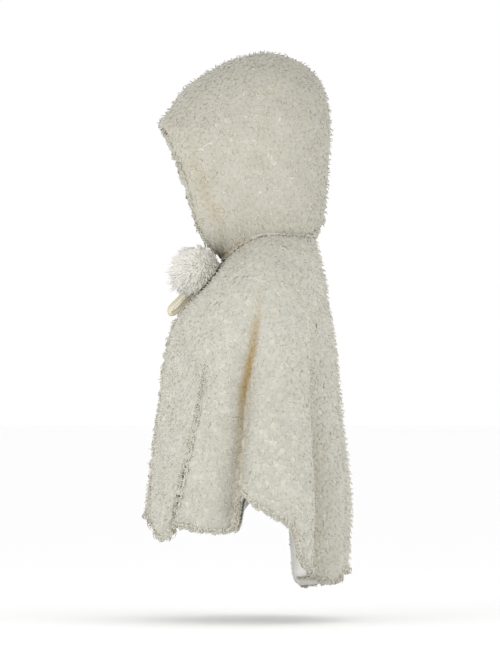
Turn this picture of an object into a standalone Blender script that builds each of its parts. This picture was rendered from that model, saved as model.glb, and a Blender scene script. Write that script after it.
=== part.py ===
"""A worn hooded cape in curly pile: hood, five lined cape panels, ribbon bow and two pompoms.

Metres, +Z up. The wearer faces -Y, so the wearer's left is +X. The origin is in the middle of the
neck, where the shoulders hold the cape. Angles run round the body in degrees: 0 is the centre
front, 90 the wearer's left side, 180 the centre back and 270 the wearer's right side.
"""

import math

import bmesh
import bpy
import numpy as np
from mathutils import Vector

# Cloth thicknesses and gaps
PILE_WALL = 0.014
LINING_WALL = 0.0013
SEAM_GAP = 0.0003

# Neck seam: where the hood is sewn to the cape, and the slope of its seam allowance
NECK_SEAM_INWARD = 0.95
NECK_SEAM_DOWN = 0.30

# Yoke: rows from the neck seam over the shoulders to the chest, as a share of the way
YOKE_COLUMNS = ("share", "front_y", "front_z", "side_x", "side_z", "back_y", "back_z", "centre_y")
YOKE = (
    (0.00, -0.078, -0.021, 0.085, 0.031, 0.108, 0.028, 0.016),
    (0.25, -0.107, -0.058, 0.136, 0.001, 0.117, -0.014, 0.012),
    (0.50, -0.139, -0.098, 0.185, -0.032, 0.128, -0.062, 0.008),
    (0.75, -0.166, -0.130, 0.223, -0.085, 0.134, -0.112, 0.004),
    (1.00, -0.182, -0.160, 0.240, -0.160, 0.143, -0.160, 0.000),
)
YOKE_SHARE = 0.36

# Body: rows down from the chest, each a level section of the outer surface
BODY_COLUMNS = ("z", "front_y", "side_x", "back_y")
BODY = (
    (-0.16, -0.182, 0.240, 0.143),
    (-0.22, -0.196, 0.250, 0.151),
    (-0.30, -0.206, 0.257, 0.159),
    (-0.40, -0.220, 0.266, 0.170),
    (-0.50, -0.232, 0.276, 0.180),
    (-0.60, -0.241, 0.285, 0.176),
    (-0.70, -0.247, 0.292, 0.170),
)
CHEST_Z = BODY[0][0]
SECTION_POWER = 0.94

# Hem: height of the lower edge at each angle round the body
HEM_COLUMNS = ("angle", "z")
HEM = (
    (0, -0.538),
    (14, -0.542),
    (22, -0.550),
    (31, -0.574),
    (38, -0.570),
    (43, -0.548),
    (60, -0.558),
    (69, -0.560),
    (74, -0.542),
    (78, -0.482),
    (84, -0.496),
    (92, -0.519),
    (106, -0.543),
    (110, -0.560),
    (114, -0.606),
    (123, -0.636),
    (139, -0.652),
    (152, -0.660),
    (162, -0.655),
    (170, -0.643),
    (190, -0.645),
    (200, -0.650),
    (209, -0.670),
    (222, -0.676),
    (244, -0.674),
    (248, -0.650),
    (251, -0.562),
    (262, -0.522),
    (270, -0.496),
    (278, -0.490),
    (284, -0.540),
    (292, -0.554),
    (318, -0.545),
    (346, -0.532),
    (360, -0.538),
)

# Folds: each a valley that runs from its start height down to the hem
FOLD_COLUMNS = ("top_angle", "hem_angle", "before", "after", "depth", "start_z", "full_z")
FOLDS = (
    (88, 71, 22, 14, 0.056, -0.050, -0.36),
    (61, 51, 9, 10, 0.009, -0.180, -0.40),
    (137, 135, 11, 27, 0.056, -0.080, -0.46),
    (171, 169, 11, 8, 0.024, -0.180, -0.52),
    (189, 193, 8, 12, 0.030, -0.150, -0.52),
    (215, 222, 25, 12, 0.052, -0.090, -0.46),
    (271, 283, 14, 21, 0.050, -0.050, -0.38),
    (299, 310, 10, 10, 0.011, -0.180, -0.42),
)
FOLD_SOFTNESS = 0.12

# Front opening, arm slits and back seams
FRONT_EDGE_COLUMNS = ("share", "left_angle", "right_angle")
FRONT_EDGE = (
    (0.00, 3.2, 3.2),
    (0.36, 3.4, 3.0),
    (0.70, 8.0, 3.0),
    (1.00, 15.0, 4.0),
)
ARM_SEAM_COLUMNS = ("share", "angle")
ARM_SEAM = (
    (0.00, 64.0),
    (0.36, 58.5),
    (0.47, 56.5),
    (1.00, 41.5),
)
SLIT_TOP_SHARE = 0.47
SLIT_HALF_GAP = 0.0065
BACK_SEAM_ANGLE = 118.0

# Mesh density of the cape panels
YOKE_ROWS = 4
BODY_ROWS = 10
FRONT_STEPS = 6
SIDE_STEPS = 18
BACK_STEPS = 28
HEM_TURN_SHARE = 0.985

# Hood, in side view round its middle; x is the half width of the outline at each point
HOOD_MIDDLE_Y = -0.014
HOOD_MIDDLE_Z = 0.200
HOOD_HALF_WIDTH = 0.128
CROWN_COLUMNS = ("y", "z")
CROWN = (
    (-0.208, 0.254),
    (-0.190, 0.278),
    (-0.160, 0.321),
    (-0.110, 0.357),
    (-0.050, 0.386),
    (0.010, 0.397),
    (0.068, 0.382),
    (0.116, 0.342),
    (0.135, 0.288),
    (0.139, 0.235),
    (0.134, 0.160),
    (0.129, 0.090),
    (0.124, 0.050),
    (0.108, 0.028),
)
OPENING_COLUMNS = ("x", "y", "z")
OPENING = (
    (0.006, -0.078, -0.021),
    (0.030, -0.098, -0.004),
    (0.058, -0.122, 0.025),
    (0.078, -0.138, 0.064),
    (0.091, -0.149, 0.112),
    (0.094, -0.162, 0.150),
    (0.085, -0.177, 0.188),
    (0.058, -0.193, 0.222),
    (0.000, -0.208, 0.254),
)
CROWN_STEPS = 22
OPENING_STEPS = 14
HOOD_RINGS = 9
CROWN_FULLNESS = 2.1
NECK_FULLNESS_COLUMNS = ("angle", "fullness")
NECK_FULLNESS = (
    (0, 1.02),
    (40, 1.05),
    (75, 1.50),
    (110, 2.20),
    (180, 2.20),
)
OPENING_FULLNESS = 1.30
EDGE_SHARPNESS = 7
EDGE_ROUNDING = 40
EDGE_ROLL_HEIGHT = 0.005
EDGE_ROLL_FROM = 0.80

# Ribbon bow and pompoms, placed over the chest: metres across from the middle, down the chest's
# slope from the knot, and off the surface of the pile
CHEST_POINT = (0.0, -0.104, -0.055)
CHEST_DOWN = (0.0, -0.617, -0.787)
CHEST_OFF = (0.0, -0.787, 0.617)
RIBBON_WALL = 0.0012
KNOT_PLACE = (0.0, 0.0, 0.0135)
KNOT_SIZE = (0.0160, 0.0110, 0.0100)
KNOT_SQUARENESS = 0.5
RIBBON_COLUMNS = ("across", "down", "off", "width")
TIE_ROOT_ANGLE = 6.5
TIE_ROOT_SHARES = (0.045, 0.10)
TIE_ROOT_WIDTH = 0.010
TIE = (
    (0.0045, -0.0160, 0.0075, 0.007),
    (0.0028, -0.0060, 0.0125, 0.005),
)
BOW_LOOP = (
    (0.0028, 0.0059, 0.0112, 0.005),
    (0.0032, 0.0165, 0.0090, 0.006),
    (0.0120, 0.0400, 0.0080, 0.013),
    (0.0200, 0.0720, 0.0095, 0.013),
    (0.0250, 0.0980, 0.0130, 0.013),
    (0.0262, 0.1050, 0.0170, 0.013),
    (0.0255, 0.1010, 0.0215, 0.013),
    (0.0210, 0.0760, 0.0215, 0.013),
    (0.0130, 0.0440, 0.0180, 0.013),
    (0.0034, 0.0180, 0.0155, 0.006),
    (0.0028, 0.0059, 0.0155, 0.005),
)
TIE_STEPS = 6
BOW_LOOP_STEPS = 20
BOW_TAIL_STEPS = 6
BOW_TAIL_WIDTH = 0.006
BOW_TAIL_BEND = (0.0150, 0.0002, 0.0150)
BOW_TAIL_END = 0.008
POMPOM_COLUMNS = ("side", "across", "down", "off")
POMPOMS = (
    ("left", 0.052, 0.019, 0.030),
    ("right", 0.050, 0.026, 0.031),
)
POMPOM_CORE = 0.016
POMPOM_REACH = 0.056
LOCK_GAP = 0.0006
LOCK_LEAST = 0.006
LOCK_MIDDLE_SHARE = 0.62
LOCK_TIP_SHARE = 0.16
CHEST_CLEARANCE = 0.0040
MIDDLE_CLEARANCE = 0.0035
BOW_CLEARANCE = 0.026
BOW_CLEAR_WIDTH = 0.012
BOW_CLEAR_SPREAD = 0.24

COLOURS = {
    "pile": ((0.72, 0.70, 0.62), 0.95),
    "satin": ((0.74, 0.74, 0.71), 0.45),
    "ribbon": ((0.74, 0.73, 0.62), 0.40),
    "long_fur": ((0.78, 0.78, 0.74), 0.90),
}


def table(rows, columns):
    """A table as one array for each named column."""
    return {name: np.array([row[i] for row in rows]) for i, name in enumerate(columns)}


def through(knots, values, at):
    """A smooth curve through the knots that never overshoots them."""
    at = np.clip(np.asarray(at, float), knots[0], knots[-1])
    step = np.diff(knots)
    rise = np.diff(values) / step
    slope = np.zeros(len(knots))
    turning = rise[:-1] * rise[1:] <= 0
    mean = 2 * rise[:-1] * rise[1:] / np.where(turning, 1.0, rise[:-1] + rise[1:])
    slope[1:-1] = np.where(turning, 0.0, mean)
    slope[0] = rise[0]
    slope[-1] = rise[-1]
    i = np.clip(np.searchsorted(knots, at, side="right") - 1, 0, len(step) - 1)
    t = (at - knots[i]) / step[i]
    start = values[i] * (1 + 2 * t) * (1 - t) ** 2 + slope[i] * step[i] * t * (1 - t) ** 2
    end = values[i + 1] * t**2 * (3 - 2 * t) - slope[i + 1] * step[i] * t**2 * (1 - t)
    return start + end


YOKE_AT = table(YOKE, YOKE_COLUMNS)
BODY_AT = table(BODY, BODY_COLUMNS)
HEM_AT = table(HEM, HEM_COLUMNS)
FOLDS_AT = table(FOLDS, FOLD_COLUMNS)
FRONT_EDGE_AT = table(FRONT_EDGE, FRONT_EDGE_COLUMNS)
ARM_SEAM_AT = table(ARM_SEAM, ARM_SEAM_COLUMNS)


def yoke(column, share):
    return through(YOKE_AT["share"], YOKE_AT[column], share)


def body(column, z):
    """A column of the body table at height z, where rows run downwards."""
    return through(-BODY_AT["z"], BODY_AT[column], -z)


def fold_depth(angle, z):
    """How far the cloth is pulled in by the folds at an angle and height."""
    total = np.zeros(np.broadcast(angle, z).shape)
    for i in range(len(FOLDS)):
        fold = {name: FOLDS_AT[name][i] for name in FOLD_COLUMNS}
        run = np.clip((fold["start_z"] - z) / (fold["start_z"] - fold["full_z"]), 0, 1)
        grown = run * run * (3 - 2 * run)
        lean = np.clip((fold["start_z"] - z) / (fold["start_z"] - CHEST_Z + 0.4), 0, 1)
        middle = fold["top_angle"] + (fold["hem_angle"] - fold["top_angle"]) * lean
        away = angle - middle
        share = np.abs(away) / np.where(away < 0, fold["before"], fold["after"])
        share = np.sqrt(share**2 + FOLD_SOFTNESS**2) - FOLD_SOFTNESS
        total += fold["depth"] * grown * np.clip(1 - share, 0, 1) ** 2
    return total


def cape_point(angle, share):
    """The cape's outer surface, at an angle and a share of the way from neck seam to hem."""
    angle = np.asarray(angle, float) % 360
    share = np.asarray(share, float)
    angle, share = np.broadcast_arrays(angle, share)
    turn = np.radians(angle)
    cosine, sine = np.cos(turn), np.sin(turn)
    on_yoke = np.clip(share / YOKE_SHARE, 0, 1)
    below = np.clip((share - YOKE_SHARE) / (1 - YOKE_SHARE), 0, 1.2)
    hem_z = through(HEM_AT["angle"], HEM_AT["z"], angle)
    end_z = np.where(cosine > 0, yoke("front_z", on_yoke), yoke("back_z", on_yoke))
    yoke_z = yoke("side_z", on_yoke) + (end_z - yoke("side_z", on_yoke)) * np.abs(cosine) ** 1.7
    z = np.where(share < YOKE_SHARE, yoke_z, CHEST_Z + (hem_z - CHEST_Z) * below)
    low = share >= YOKE_SHARE
    front_y = np.where(low, body("front_y", z), yoke("front_y", on_yoke))
    back_y = np.where(low, body("back_y", z), yoke("back_y", on_yoke))
    side_x = np.where(low, body("side_x", z), yoke("side_x", on_yoke))
    centre_y = yoke("centre_y", on_yoke)
    reach = np.where(cosine > 0, centre_y - front_y, back_y - centre_y)
    across = np.sign(sine) * np.abs(sine) ** SECTION_POWER
    along = np.sign(cosine) * np.abs(cosine) ** SECTION_POWER
    x = side_x * across
    y = centre_y - reach * along
    normal_x = across / side_x
    normal_y = -along / reach
    size = np.hypot(normal_x, normal_y)
    pulled = fold_depth(angle, z)
    return np.stack([x - pulled * normal_x / size, y - pulled * normal_y / size, z], axis=-1)


def cape_normal(angle, share):
    """Outward unit normal of the cape's outer surface."""
    turn, slide = 0.5, 0.004
    above = np.clip(np.asarray(share, float) - slide, 0, None)
    across = cape_point(angle + turn, share) - cape_point(angle - turn, share)
    down = cape_point(angle, share + slide) - cape_point(angle, above)
    normal = np.cross(down, across)
    return normal / np.linalg.norm(normal, axis=-1, keepdims=True)


def angle_step(angle, share, distance):
    """The angle that spans a distance along the cape at that place."""
    turn = 0.5
    arc = cape_point(angle + turn, share) - cape_point(angle - turn, share)
    return distance * 2 * turn / np.linalg.norm(arc, axis=-1)


def front_edge(side, share):
    """Angle of a front panel's free edge."""
    angle = through(FRONT_EDGE_AT["share"], FRONT_EDGE_AT[side + "_angle"], share)
    return angle if side == "left" else 360 - angle


def arm_seam(side, share):
    """Angle of the seam between front and side panel, open as the arm slit below its top."""
    angle = through(ARM_SEAM_AT["share"], ARM_SEAM_AT["angle"], share)
    return angle if side == "left" else 360 - angle


def slit_half_gap(share):
    opened = np.clip((share - SLIT_TOP_SHARE) / (1 - SLIT_TOP_SHARE), 0, 1)
    return SEAM_GAP / 2 + SLIT_HALF_GAP * opened**1.6


def seam_angles_of(name, share):
    """Angles of the two seams of a panel, or None where its edge is free."""
    if name == "back":
        return np.full_like(share, BACK_SEAM_ANGLE), np.full_like(share, 360 - BACK_SEAM_ANGLE)
    kind, side = name.split("_")
    slit = arm_seam(side, share)
    if kind == "front":
        seams = (None, slit)
    else:
        seams = (slit, np.full_like(share, BACK_SEAM_ANGLE if side == "left" else 360 - BACK_SEAM_ANGLE))
    return seams if side == "left" else seams[::-1]


def panel_edges(name, share):
    """The two edge angles of a cape panel at each share, with half of each seam's gap taken off."""
    kind, _, side = name.partition("_")
    edges = []
    for inward, seam in zip((1, -1), seam_angles_of(name, share)):
        if seam is None:
            edges.append(front_edge(side, share))
            continue
        at_slit = kind == "front" or (kind == "side" and (inward == 1) == (side == "left"))
        gap = slit_half_gap(share) if at_slit else SEAM_GAP / 2
        edges.append(seam + inward * angle_step(seam, share, gap))
    return edges


def panel_shares():
    """Shares of the way down at which every panel has its rows; the last two form the hem."""
    on_yoke = np.linspace(0, YOKE_SHARE, YOKE_ROWS + 1)
    below = np.linspace(YOKE_SHARE, HEM_TURN_SHARE, BODY_ROWS + 1)[1:]
    return np.concatenate([on_yoke, below, [1.0]])


def neck_seam_direction(angle):
    """Direction of the neck seam's face, from the outer surface to the inner one."""
    turn = np.radians(angle)
    flat = np.stack([np.sin(turn), -np.cos(turn), np.zeros_like(turn)], axis=-1)
    seam = -NECK_SEAM_INWARD * flat - NECK_SEAM_DOWN * np.array([0.0, 0.0, 1.0])
    return seam / np.linalg.norm(seam, axis=-1, keepdims=True)


def material(name):
    colour, roughness = COLOURS[name]
    made = bpy.data.materials.get(name) or bpy.data.materials.new(name)
    made.use_nodes = True
    shader = made.node_tree.nodes["Principled BSDF"]
    shader.inputs["Base Color"].default_value = (*colour, 1.0)
    shader.inputs["Roughness"].default_value = roughness
    shader.inputs["Metallic"].default_value = 0.0
    return made


def solid(name, points, faces, material_name):
    """One closed object from points and faces, with its faces turned outwards."""
    mesh = bpy.data.meshes.new(name)
    mesh.from_pydata([tuple(map(float, p)) for p in points], [], faces)
    shape = bmesh.new()
    shape.from_mesh(mesh)
    bmesh.ops.remove_doubles(shape, verts=shape.verts, dist=1e-6)
    bmesh.ops.recalc_face_normals(shape, faces=shape.faces)
    shape.to_mesh(mesh)
    shape.free()
    mesh.shade_smooth()
    mesh.set_sharp_from_angle(angle=math.radians(50))
    mesh.materials.append(material(material_name))
    made = bpy.data.objects.new(name, mesh)
    bpy.context.scene.collection.objects.link(made)
    return made


def edge_faces(outer_here, outer_there, inner_there, inner_here, from_here):
    """The two triangles of a piece of a wall's edge, split so that both sides of a seam agree."""
    if from_here:
        return [(outer_here, outer_there, inner_there), (outer_here, inner_there, inner_here)]
    return [(outer_here, outer_there, inner_here), (outer_there, inner_there, inner_here)]


def wall(name, outer, inner, material_name):
    """A closed wall between two grids of points of the same shape."""
    rows, columns = outer.shape[:2]
    points = np.concatenate([outer.reshape(-1, 3), inner.reshape(-1, 3)])

    def at(row, column, layer):
        return layer * rows * columns + row * columns + column

    faces = []
    for row in range(rows - 1):
        for column in range(columns - 1):
            for layer in (0, 1):
                corners = (
                    at(row, column, layer),
                    at(row, column + 1, layer),
                    at(row + 1, column + 1, layer),
                    at(row + 1, column, layer),
                )
                for half in ((0, 1, 2), (0, 2, 3)):
                    face = tuple(corners[i] for i in half)
                    faces.append(face if layer else face[::-1])
    rim = [(0, c) for c in range(columns)]
    rim += [(r, columns - 1) for r in range(1, rows)]
    rim += [(rows - 1, c) for c in range(columns - 2, -1, -1)]
    rim += [(r, 0) for r in range(rows - 2, 0, -1)]
    for here, there in zip(rim, rim[1:] + rim[:1]):
        corners = (at(*here, 0), at(*there, 0), at(*there, 1), at(*here, 1))
        faces += edge_faces(*corners, here < there)
    return solid(name, points, faces, material_name)


def cape_grids(name, steps):
    """Points of one cape panel on its outer surface and unit normals there.

    At the edges the normals are those of the seam itself, so that both panels meet there with
    parallel faces.
    """
    share = panel_shares()
    start, end = panel_edges(name, share)
    across = np.linspace(0, 1, steps + 1)
    angle = start[:, None] + (end - start)[:, None] * across
    share = np.broadcast_to(share[:, None], angle.shape)
    normal = cape_normal(angle, share)
    for edge, seam in zip((0, -1), seam_angles_of(name, share[:, 0])):
        if seam is not None:
            normal[:, edge] = cape_normal(seam, share[:, 0])
    return cape_point(angle, share), normal, angle


def cape_panel(name, steps):
    """A pile panel of the cape, with its outer surface at the tips of the pile."""
    outer, normal, angle = cape_grids(name, steps)
    inner = outer - PILE_WALL * normal
    inner[0] = outer[0] + PILE_WALL * neck_seam_direction(angle[0])
    for grid in (outer, inner):
        grid[0, :, 2] -= SEAM_GAP / 2
    return wall(name, outer, inner, "pile")


def lining_panel(name, steps):
    """The satin lining of one cape panel, made from the panel's own points moved inwards."""
    outer, normal, _ = cape_grids(name, steps)
    top = outer[1:-1] - (PILE_WALL + SEAM_GAP) * normal[1:-1]
    return wall("lining_" + name, top, top - LINING_WALL * normal[1:-1], "satin")


def spaced_through(rows, steps):
    """Points evenly spaced along a smooth curve through the rows of a table."""
    rows = np.array(rows, float)
    lengths = np.linalg.norm(np.diff(rows, axis=0), axis=1)
    along = np.concatenate([[0.0], np.cumsum(lengths)])
    at = np.linspace(0, along[-1], steps + 1)
    return np.stack([through(along, rows[:, i], at) for i in range(rows.shape[1])], axis=-1)


def neck_angles():
    """Angles along half of the neck seam from the back to the front, on columns of the panels."""
    arm = float(ARM_SEAM_AT["angle"][0])
    front = float(FRONT_EDGE_AT["left_angle"][0])
    back_part = np.linspace(180, BACK_SEAM_ANGLE, BACK_STEPS // 4 + 1)
    side_part = np.linspace(BACK_SEAM_ANGLE, arm, SIDE_STEPS // 2 + 1)
    front_part = np.linspace(arm, front, FRONT_STEPS + 1)
    return np.concatenate([back_part, side_part[1:], front_part[1:]])


def hood_outline():
    """The edge loop of the left half of the hood, with the fullness of the dome at each point.

    It runs from the peak over the crown to the back neck, along the neck seam to the front, and
    up the face opening to the peak again.
    """
    crown = spaced_through(CROWN, CROWN_STEPS)
    crown = np.column_stack([np.zeros(len(crown)), crown])
    angles = neck_angles()
    neck = cape_point(angles, np.zeros_like(angles))
    opening_rows = np.array(OPENING)
    opening_rows[0] = neck[-1]
    opening = spaced_through(opening_rows, OPENING_STEPS)
    loop = np.concatenate([crown[:-1], neck, opening[1:-1]])
    counts = (CROWN_STEPS, len(angles), OPENING_STEPS - 1)
    kinds = np.repeat(("crown", "neck", "opening"), counts)
    neck_full = table(NECK_FULLNESS, NECK_FULLNESS_COLUMNS)
    neck_full = through(neck_full["angle"], neck_full["fullness"], angles)
    crown_full = np.full(CROWN_STEPS, CROWN_FULLNESS)
    full = np.concatenate([crown_full, neck_full, np.full(OPENING_STEPS - 1, OPENING_FULLNESS)])
    full = (np.roll(full, 1) + full + np.roll(full, -1)) / 3
    seam_angles = np.concatenate([np.full(CROWN_STEPS, 180.0), angles, np.zeros(OPENING_STEPS - 1)])
    return loop, kinds, full, seam_angles


def rounded(values, passes):
    """Values round a closed loop, evened out with their neighbours."""
    for _ in range(passes):
        values = (np.roll(values, 1, axis=0) + 2 * values + np.roll(values, -1, axis=0)) / 4
    return values


def hood_surface(loop, full, rings):
    """Points of the hood's outer dome, from its middle out to the edge loop.

    The loop's corners count only near the edge; further in the dome is round.
    """
    reach = np.sin(np.linspace(0, math.pi / 2, rings + 1))[:, None]
    near_edge = reach**EDGE_SHARPNESS
    soft = rounded(loop, EDGE_ROUNDING)
    shape = soft + (loop - soft) * near_edge[:, :, None]
    soft_full = rounded(full, EDGE_ROUNDING)
    fullness = soft_full + (full - soft_full) * near_edge
    middle = np.array([HOOD_MIDDLE_Y, HOOD_MIDDLE_Z])
    flat = middle + reach[:, :, None] * (shape[:, :, 1:] - middle)
    away = np.linalg.norm(flat - middle, axis=-1) / np.linalg.norm(loop[:, 1:] - middle, axis=-1)
    dome = (1 - np.clip(away, 0, 1) ** 2.3) ** (1 / fullness)
    x = shape[:, :, 0] + (HOOD_HALF_WIDTH - shape[:, :, 0]) * dome
    return np.concatenate([x[:, :, None], flat], axis=-1), reach[:, 0]


def loop_normals(points):
    """Outward unit normals of a polar grid whose columns close on themselves."""
    around = np.roll(points, -1, axis=1) - np.roll(points, 1, axis=1)
    outward = np.gradient(points, axis=0)
    normal = np.cross(outward, around)
    normal[0] = (1.0, 0.0, 0.0)
    size = np.linalg.norm(normal, axis=-1, keepdims=True)
    normal = normal / np.maximum(size, 1e-12)
    flip = np.sign((normal * (points - (0.0, HOOD_MIDDLE_Y, HOOD_MIDDLE_Z))).sum(-1))
    return normal * np.where(flip == 0, 1, flip)[..., None]


def hood_half(side):
    """One side panel of the hood, from the centre seam to the neck seam and the face opening."""
    loop, kinds, full, seam_angles = hood_outline()
    outer, reach = hood_surface(loop, full, HOOD_RINGS)
    normal = loop_normals(outer)
    roll = np.clip((reach - EDGE_ROLL_FROM) / (1 - EDGE_ROLL_FROM), 0, 1)
    roll = (np.sin(roll * math.pi) ** 2)[:, None] * (kinds == "opening")[None, :]
    outer = outer + (EDGE_ROLL_HEIGHT * roll)[:, :, None] * normal
    crown = np.flatnonzero(kinds == "crown")
    normal[-1, crown, 0] = 0.0
    normal[-1] /= np.linalg.norm(normal[-1], axis=-1, keepdims=True)
    inner = outer - PILE_WALL * normal
    neck = np.flatnonzero(kinds == "neck")
    inner[-1, neck] = outer[-1, neck] + PILE_WALL * neck_seam_direction(seam_angles[neck])
    for grid in (outer, inner):
        grid[-1, neck, 2] += SEAM_GAP / 2
        grid[-1, crown, 0] = SEAM_GAP / 2
        grid[-1, neck[0], 0] = SEAM_GAP / 2
    if side == "right":
        outer = outer * (-1, 1, 1)
        inner = inner * (-1, 1, 1)
    count = outer.shape[1]
    points = np.concatenate([outer[0, :1], outer[1:].reshape(-1, 3), inner[0, :1], inner[1:].reshape(-1, 3)])
    layer_size = 1 + HOOD_RINGS * count

    def at(ring, column, layer):
        base = layer * layer_size
        return base if ring == 0 else base + 1 + (ring - 1) * count + column % count

    faces = []
    for layer in (0, 1):
        for column in range(count):
            fan = (at(0, 0, layer), at(1, column, layer), at(1, column + 1, layer))
            faces.append(fan if layer else fan[::-1])
            for ring in range(1, HOOD_RINGS):
                corners = (
                    at(ring, column, layer),
                    at(ring + 1, column, layer),
                    at(ring + 1, column + 1, layer),
                    at(ring, column + 1, layer),
                )
                faces.append(corners if layer else corners[::-1])
    for column in range(count):
        ends = ((column, 0), (column + 1, 0), (column + 1, 1), (column, 1))
        corners = [at(HOOD_RINGS, at_column, layer) for at_column, layer in ends]
        faces += edge_faces(*corners, side == "right")
    return solid("hood_" + side, points, faces, "pile")


def over_chest(place, sign=1):
    """A point given across, down and off the chest, mirrored to the right side by a sign of -1."""
    across, down, off = place
    point = np.array(CHEST_POINT) + down * np.array(CHEST_DOWN) + off * np.array(CHEST_OFF)
    return point + (sign * across, 0.0, 0.0)


def ribbon(name, rows, steps, sign, lie):
    """A flat satin band through rows of the ribbon columns; its width runs along the direction lie."""
    rows = np.array(rows)
    path = np.array([over_chest(row[:3], sign) for row in rows])
    smooth = spaced_through(np.column_stack([path, rows[:, 3]]), steps)
    line, width = smooth[:, :3], smooth[:, 3:]
    tangent = np.gradient(line, axis=0)
    tangent /= np.linalg.norm(tangent, axis=1, keepdims=True)
    side = np.array(lie, float) - (tangent @ np.array(lie, float))[:, None] * tangent
    side /= np.linalg.norm(side, axis=1, keepdims=True)
    lift = np.cross(tangent, side)[:, None] * RIBBON_WALL / 2
    middle = np.stack([line - side * width / 2, line, line + side * width / 2], axis=1)
    wall(name, middle + lift, middle - lift, "ribbon")


def finish(name, shape, material_name, sharp):
    """A smooth shaded object made from a bmesh."""
    mesh = bpy.data.meshes.new(name)
    bmesh.ops.recalc_face_normals(shape, faces=shape.faces)
    shape.to_mesh(mesh)
    shape.free()
    mesh.shade_smooth()
    mesh.set_sharp_from_angle(angle=math.radians(sharp))
    mesh.materials.append(material(material_name))
    made = bpy.data.objects.new(name, mesh)
    bpy.context.scene.collection.objects.link(made)


def chest_coordinates(point):
    """A point of the left half as across, down and off the chest."""
    away = np.asarray(point) - np.array(CHEST_POINT)
    return away[0], away @ np.array(CHEST_DOWN), away @ np.array(CHEST_OFF)


def pompom_core(back):
    """A round core turned so that a flat face looks back at the knot, and that face's distance."""
    shape = bmesh.new()
    bmesh.ops.create_icosphere(shape, subdivisions=2, radius=POMPOM_CORE)
    shape.faces.ensure_lookup_table()
    middle = shape.faces[0].calc_center_median()
    turn = shape.faces[0].normal.rotation_difference(back)
    bmesh.ops.rotate(shape, verts=shape.verts, matrix=turn.to_matrix())
    return shape, middle.length


def toward_knot(place):
    away = np.array(KNOT_PLACE) - np.array(place)
    return away / np.linalg.norm(away)


def ribbon_bow():
    """The knot, and on each side the tie, the loop and the tail that holds a pompom."""
    shape = bmesh.new()
    bmesh.ops.create_uvsphere(shape, u_segments=16, v_segments=10, radius=1)
    for corner in shape.verts:
        squared = np.sign(corner.co) * np.abs(corner.co) ** KNOT_SQUARENESS
        place = np.array(KNOT_PLACE) + squared * np.array(KNOT_SIZE) / 2
        corner.co = Vector(over_chest(place))
    finish("bow_knot", shape, "ribbon", 60)
    roots = np.array(TIE_ROOT_SHARES)
    surface = cape_point(TIE_ROOT_ANGLE, roots)
    surface = surface + cape_normal(TIE_ROOT_ANGLE, roots) * (RIBBON_WALL / 2 + 1.5 * SEAM_GAP)
    tie = [(*chest_coordinates(point), TIE_ROOT_WIDTH) for point in surface] + list(TIE)
    for side, *place in POMPOMS:
        sign = 1 if side == "left" else -1
        ribbon("tie_" + side, tie, TIE_STEPS, sign, (1, 0, 0))
        ribbon("bow_loop_" + side, BOW_LOOP, BOW_LOOP_STEPS, sign, (1, 0, 0))
        back = toward_knot(place)
        core, flat = pompom_core(Vector((1.0, 0.0, 0.0)))
        core.free()
        start = np.array(KNOT_PLACE) + (KNOT_SIZE[0] / 2 + SEAM_GAP, 0.0, 0.0)
        ends = [np.array(place) + back * (flat + length) for length in (BOW_TAIL_END, SEAM_GAP)]
        tail = [(*point, BOW_TAIL_WIDTH) for point in (start, BOW_TAIL_BEND, *ends)]
        ribbon("bow_tail_" + side, tail, BOW_TAIL_STEPS, sign, CHEST_DOWN)


def height_over_cape(point, surface, normal):
    """How far a point stands off the cape, from samples of its outer surface and normals."""
    nearest = np.argmin(((surface - point) ** 2).sum(1))
    return (point - surface[nearest]) @ normal[nearest]


def is_clear(place, sign, surface, normal):
    """Whether a point over the chest is clear of the pile, the other pompom and the bow."""
    across, down, off = place
    over_bow = across < BOW_CLEAR_WIDTH + BOW_CLEAR_SPREAD * max(down, 0.0) and off < BOW_CLEARANCE
    off_pile = height_over_cape(over_chest(place, sign), surface, normal) > CHEST_CLEARANCE
    return off_pile and across > MIDDLE_CLEARANCE and not over_bow


def pompom(side, across, down, off):
    """A round core with a lock of long fur standing on each face that has room for one."""
    sign = 1 if side == "left" else -1
    place = np.array((across, down, off))
    axes = np.array([(sign, 0.0, 0.0), CHEST_DOWN, CHEST_OFF])
    angle, share = np.meshgrid(sign * np.linspace(-6, 74, 81), np.linspace(0, 0.7, 91))
    surface, normal = cape_point(angle, share), cape_normal(angle, share)
    samples = (surface.reshape(-1, 3), normal.reshape(-1, 3))
    back = toward_knot(place)
    shape, _ = pompom_core(Vector(back @ axes))
    locks = []
    for face in shape.faces:
        root = np.array(face.calc_center_median())
        direction = root / np.linalg.norm(root)
        over = axes @ direction
        swirl = 0.94 + 0.06 * math.sin(9 * direction[0] + 7 * direction[1] + 5 * direction[2])
        reach = np.linalg.norm(root)
        while reach < POMPOM_REACH * swirl and is_clear(place + over * (reach + 0.001), sign, *samples):
            reach += 0.001
        length = reach - np.linalg.norm(root)
        if length > LOCK_LEAST and over @ back < 0.93:
            locks.append((face, Vector(direction), length))
    bmesh.ops.inset_individual(shape, faces=[lock[0] for lock in locks], thickness=LOCK_GAP)
    parts = ((0.55, LOCK_MIDDLE_SHARE), (0.45, LOCK_TIP_SHARE / LOCK_MIDDLE_SHARE))
    for face, direction, length in locks:
        for part, size in parts:
            face = bmesh.ops.extrude_discrete_faces(shape, faces=[face])["faces"][0]
            middle = face.calc_center_median()
            for corner in face.verts:
                corner.co = middle + (corner.co - middle) * size + direction * length * part
    bmesh.ops.translate(shape, verts=shape.verts, vec=Vector(over_chest(place, sign)))
    finish("pompom_" + side, shape, "long_fur", 40)


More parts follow.
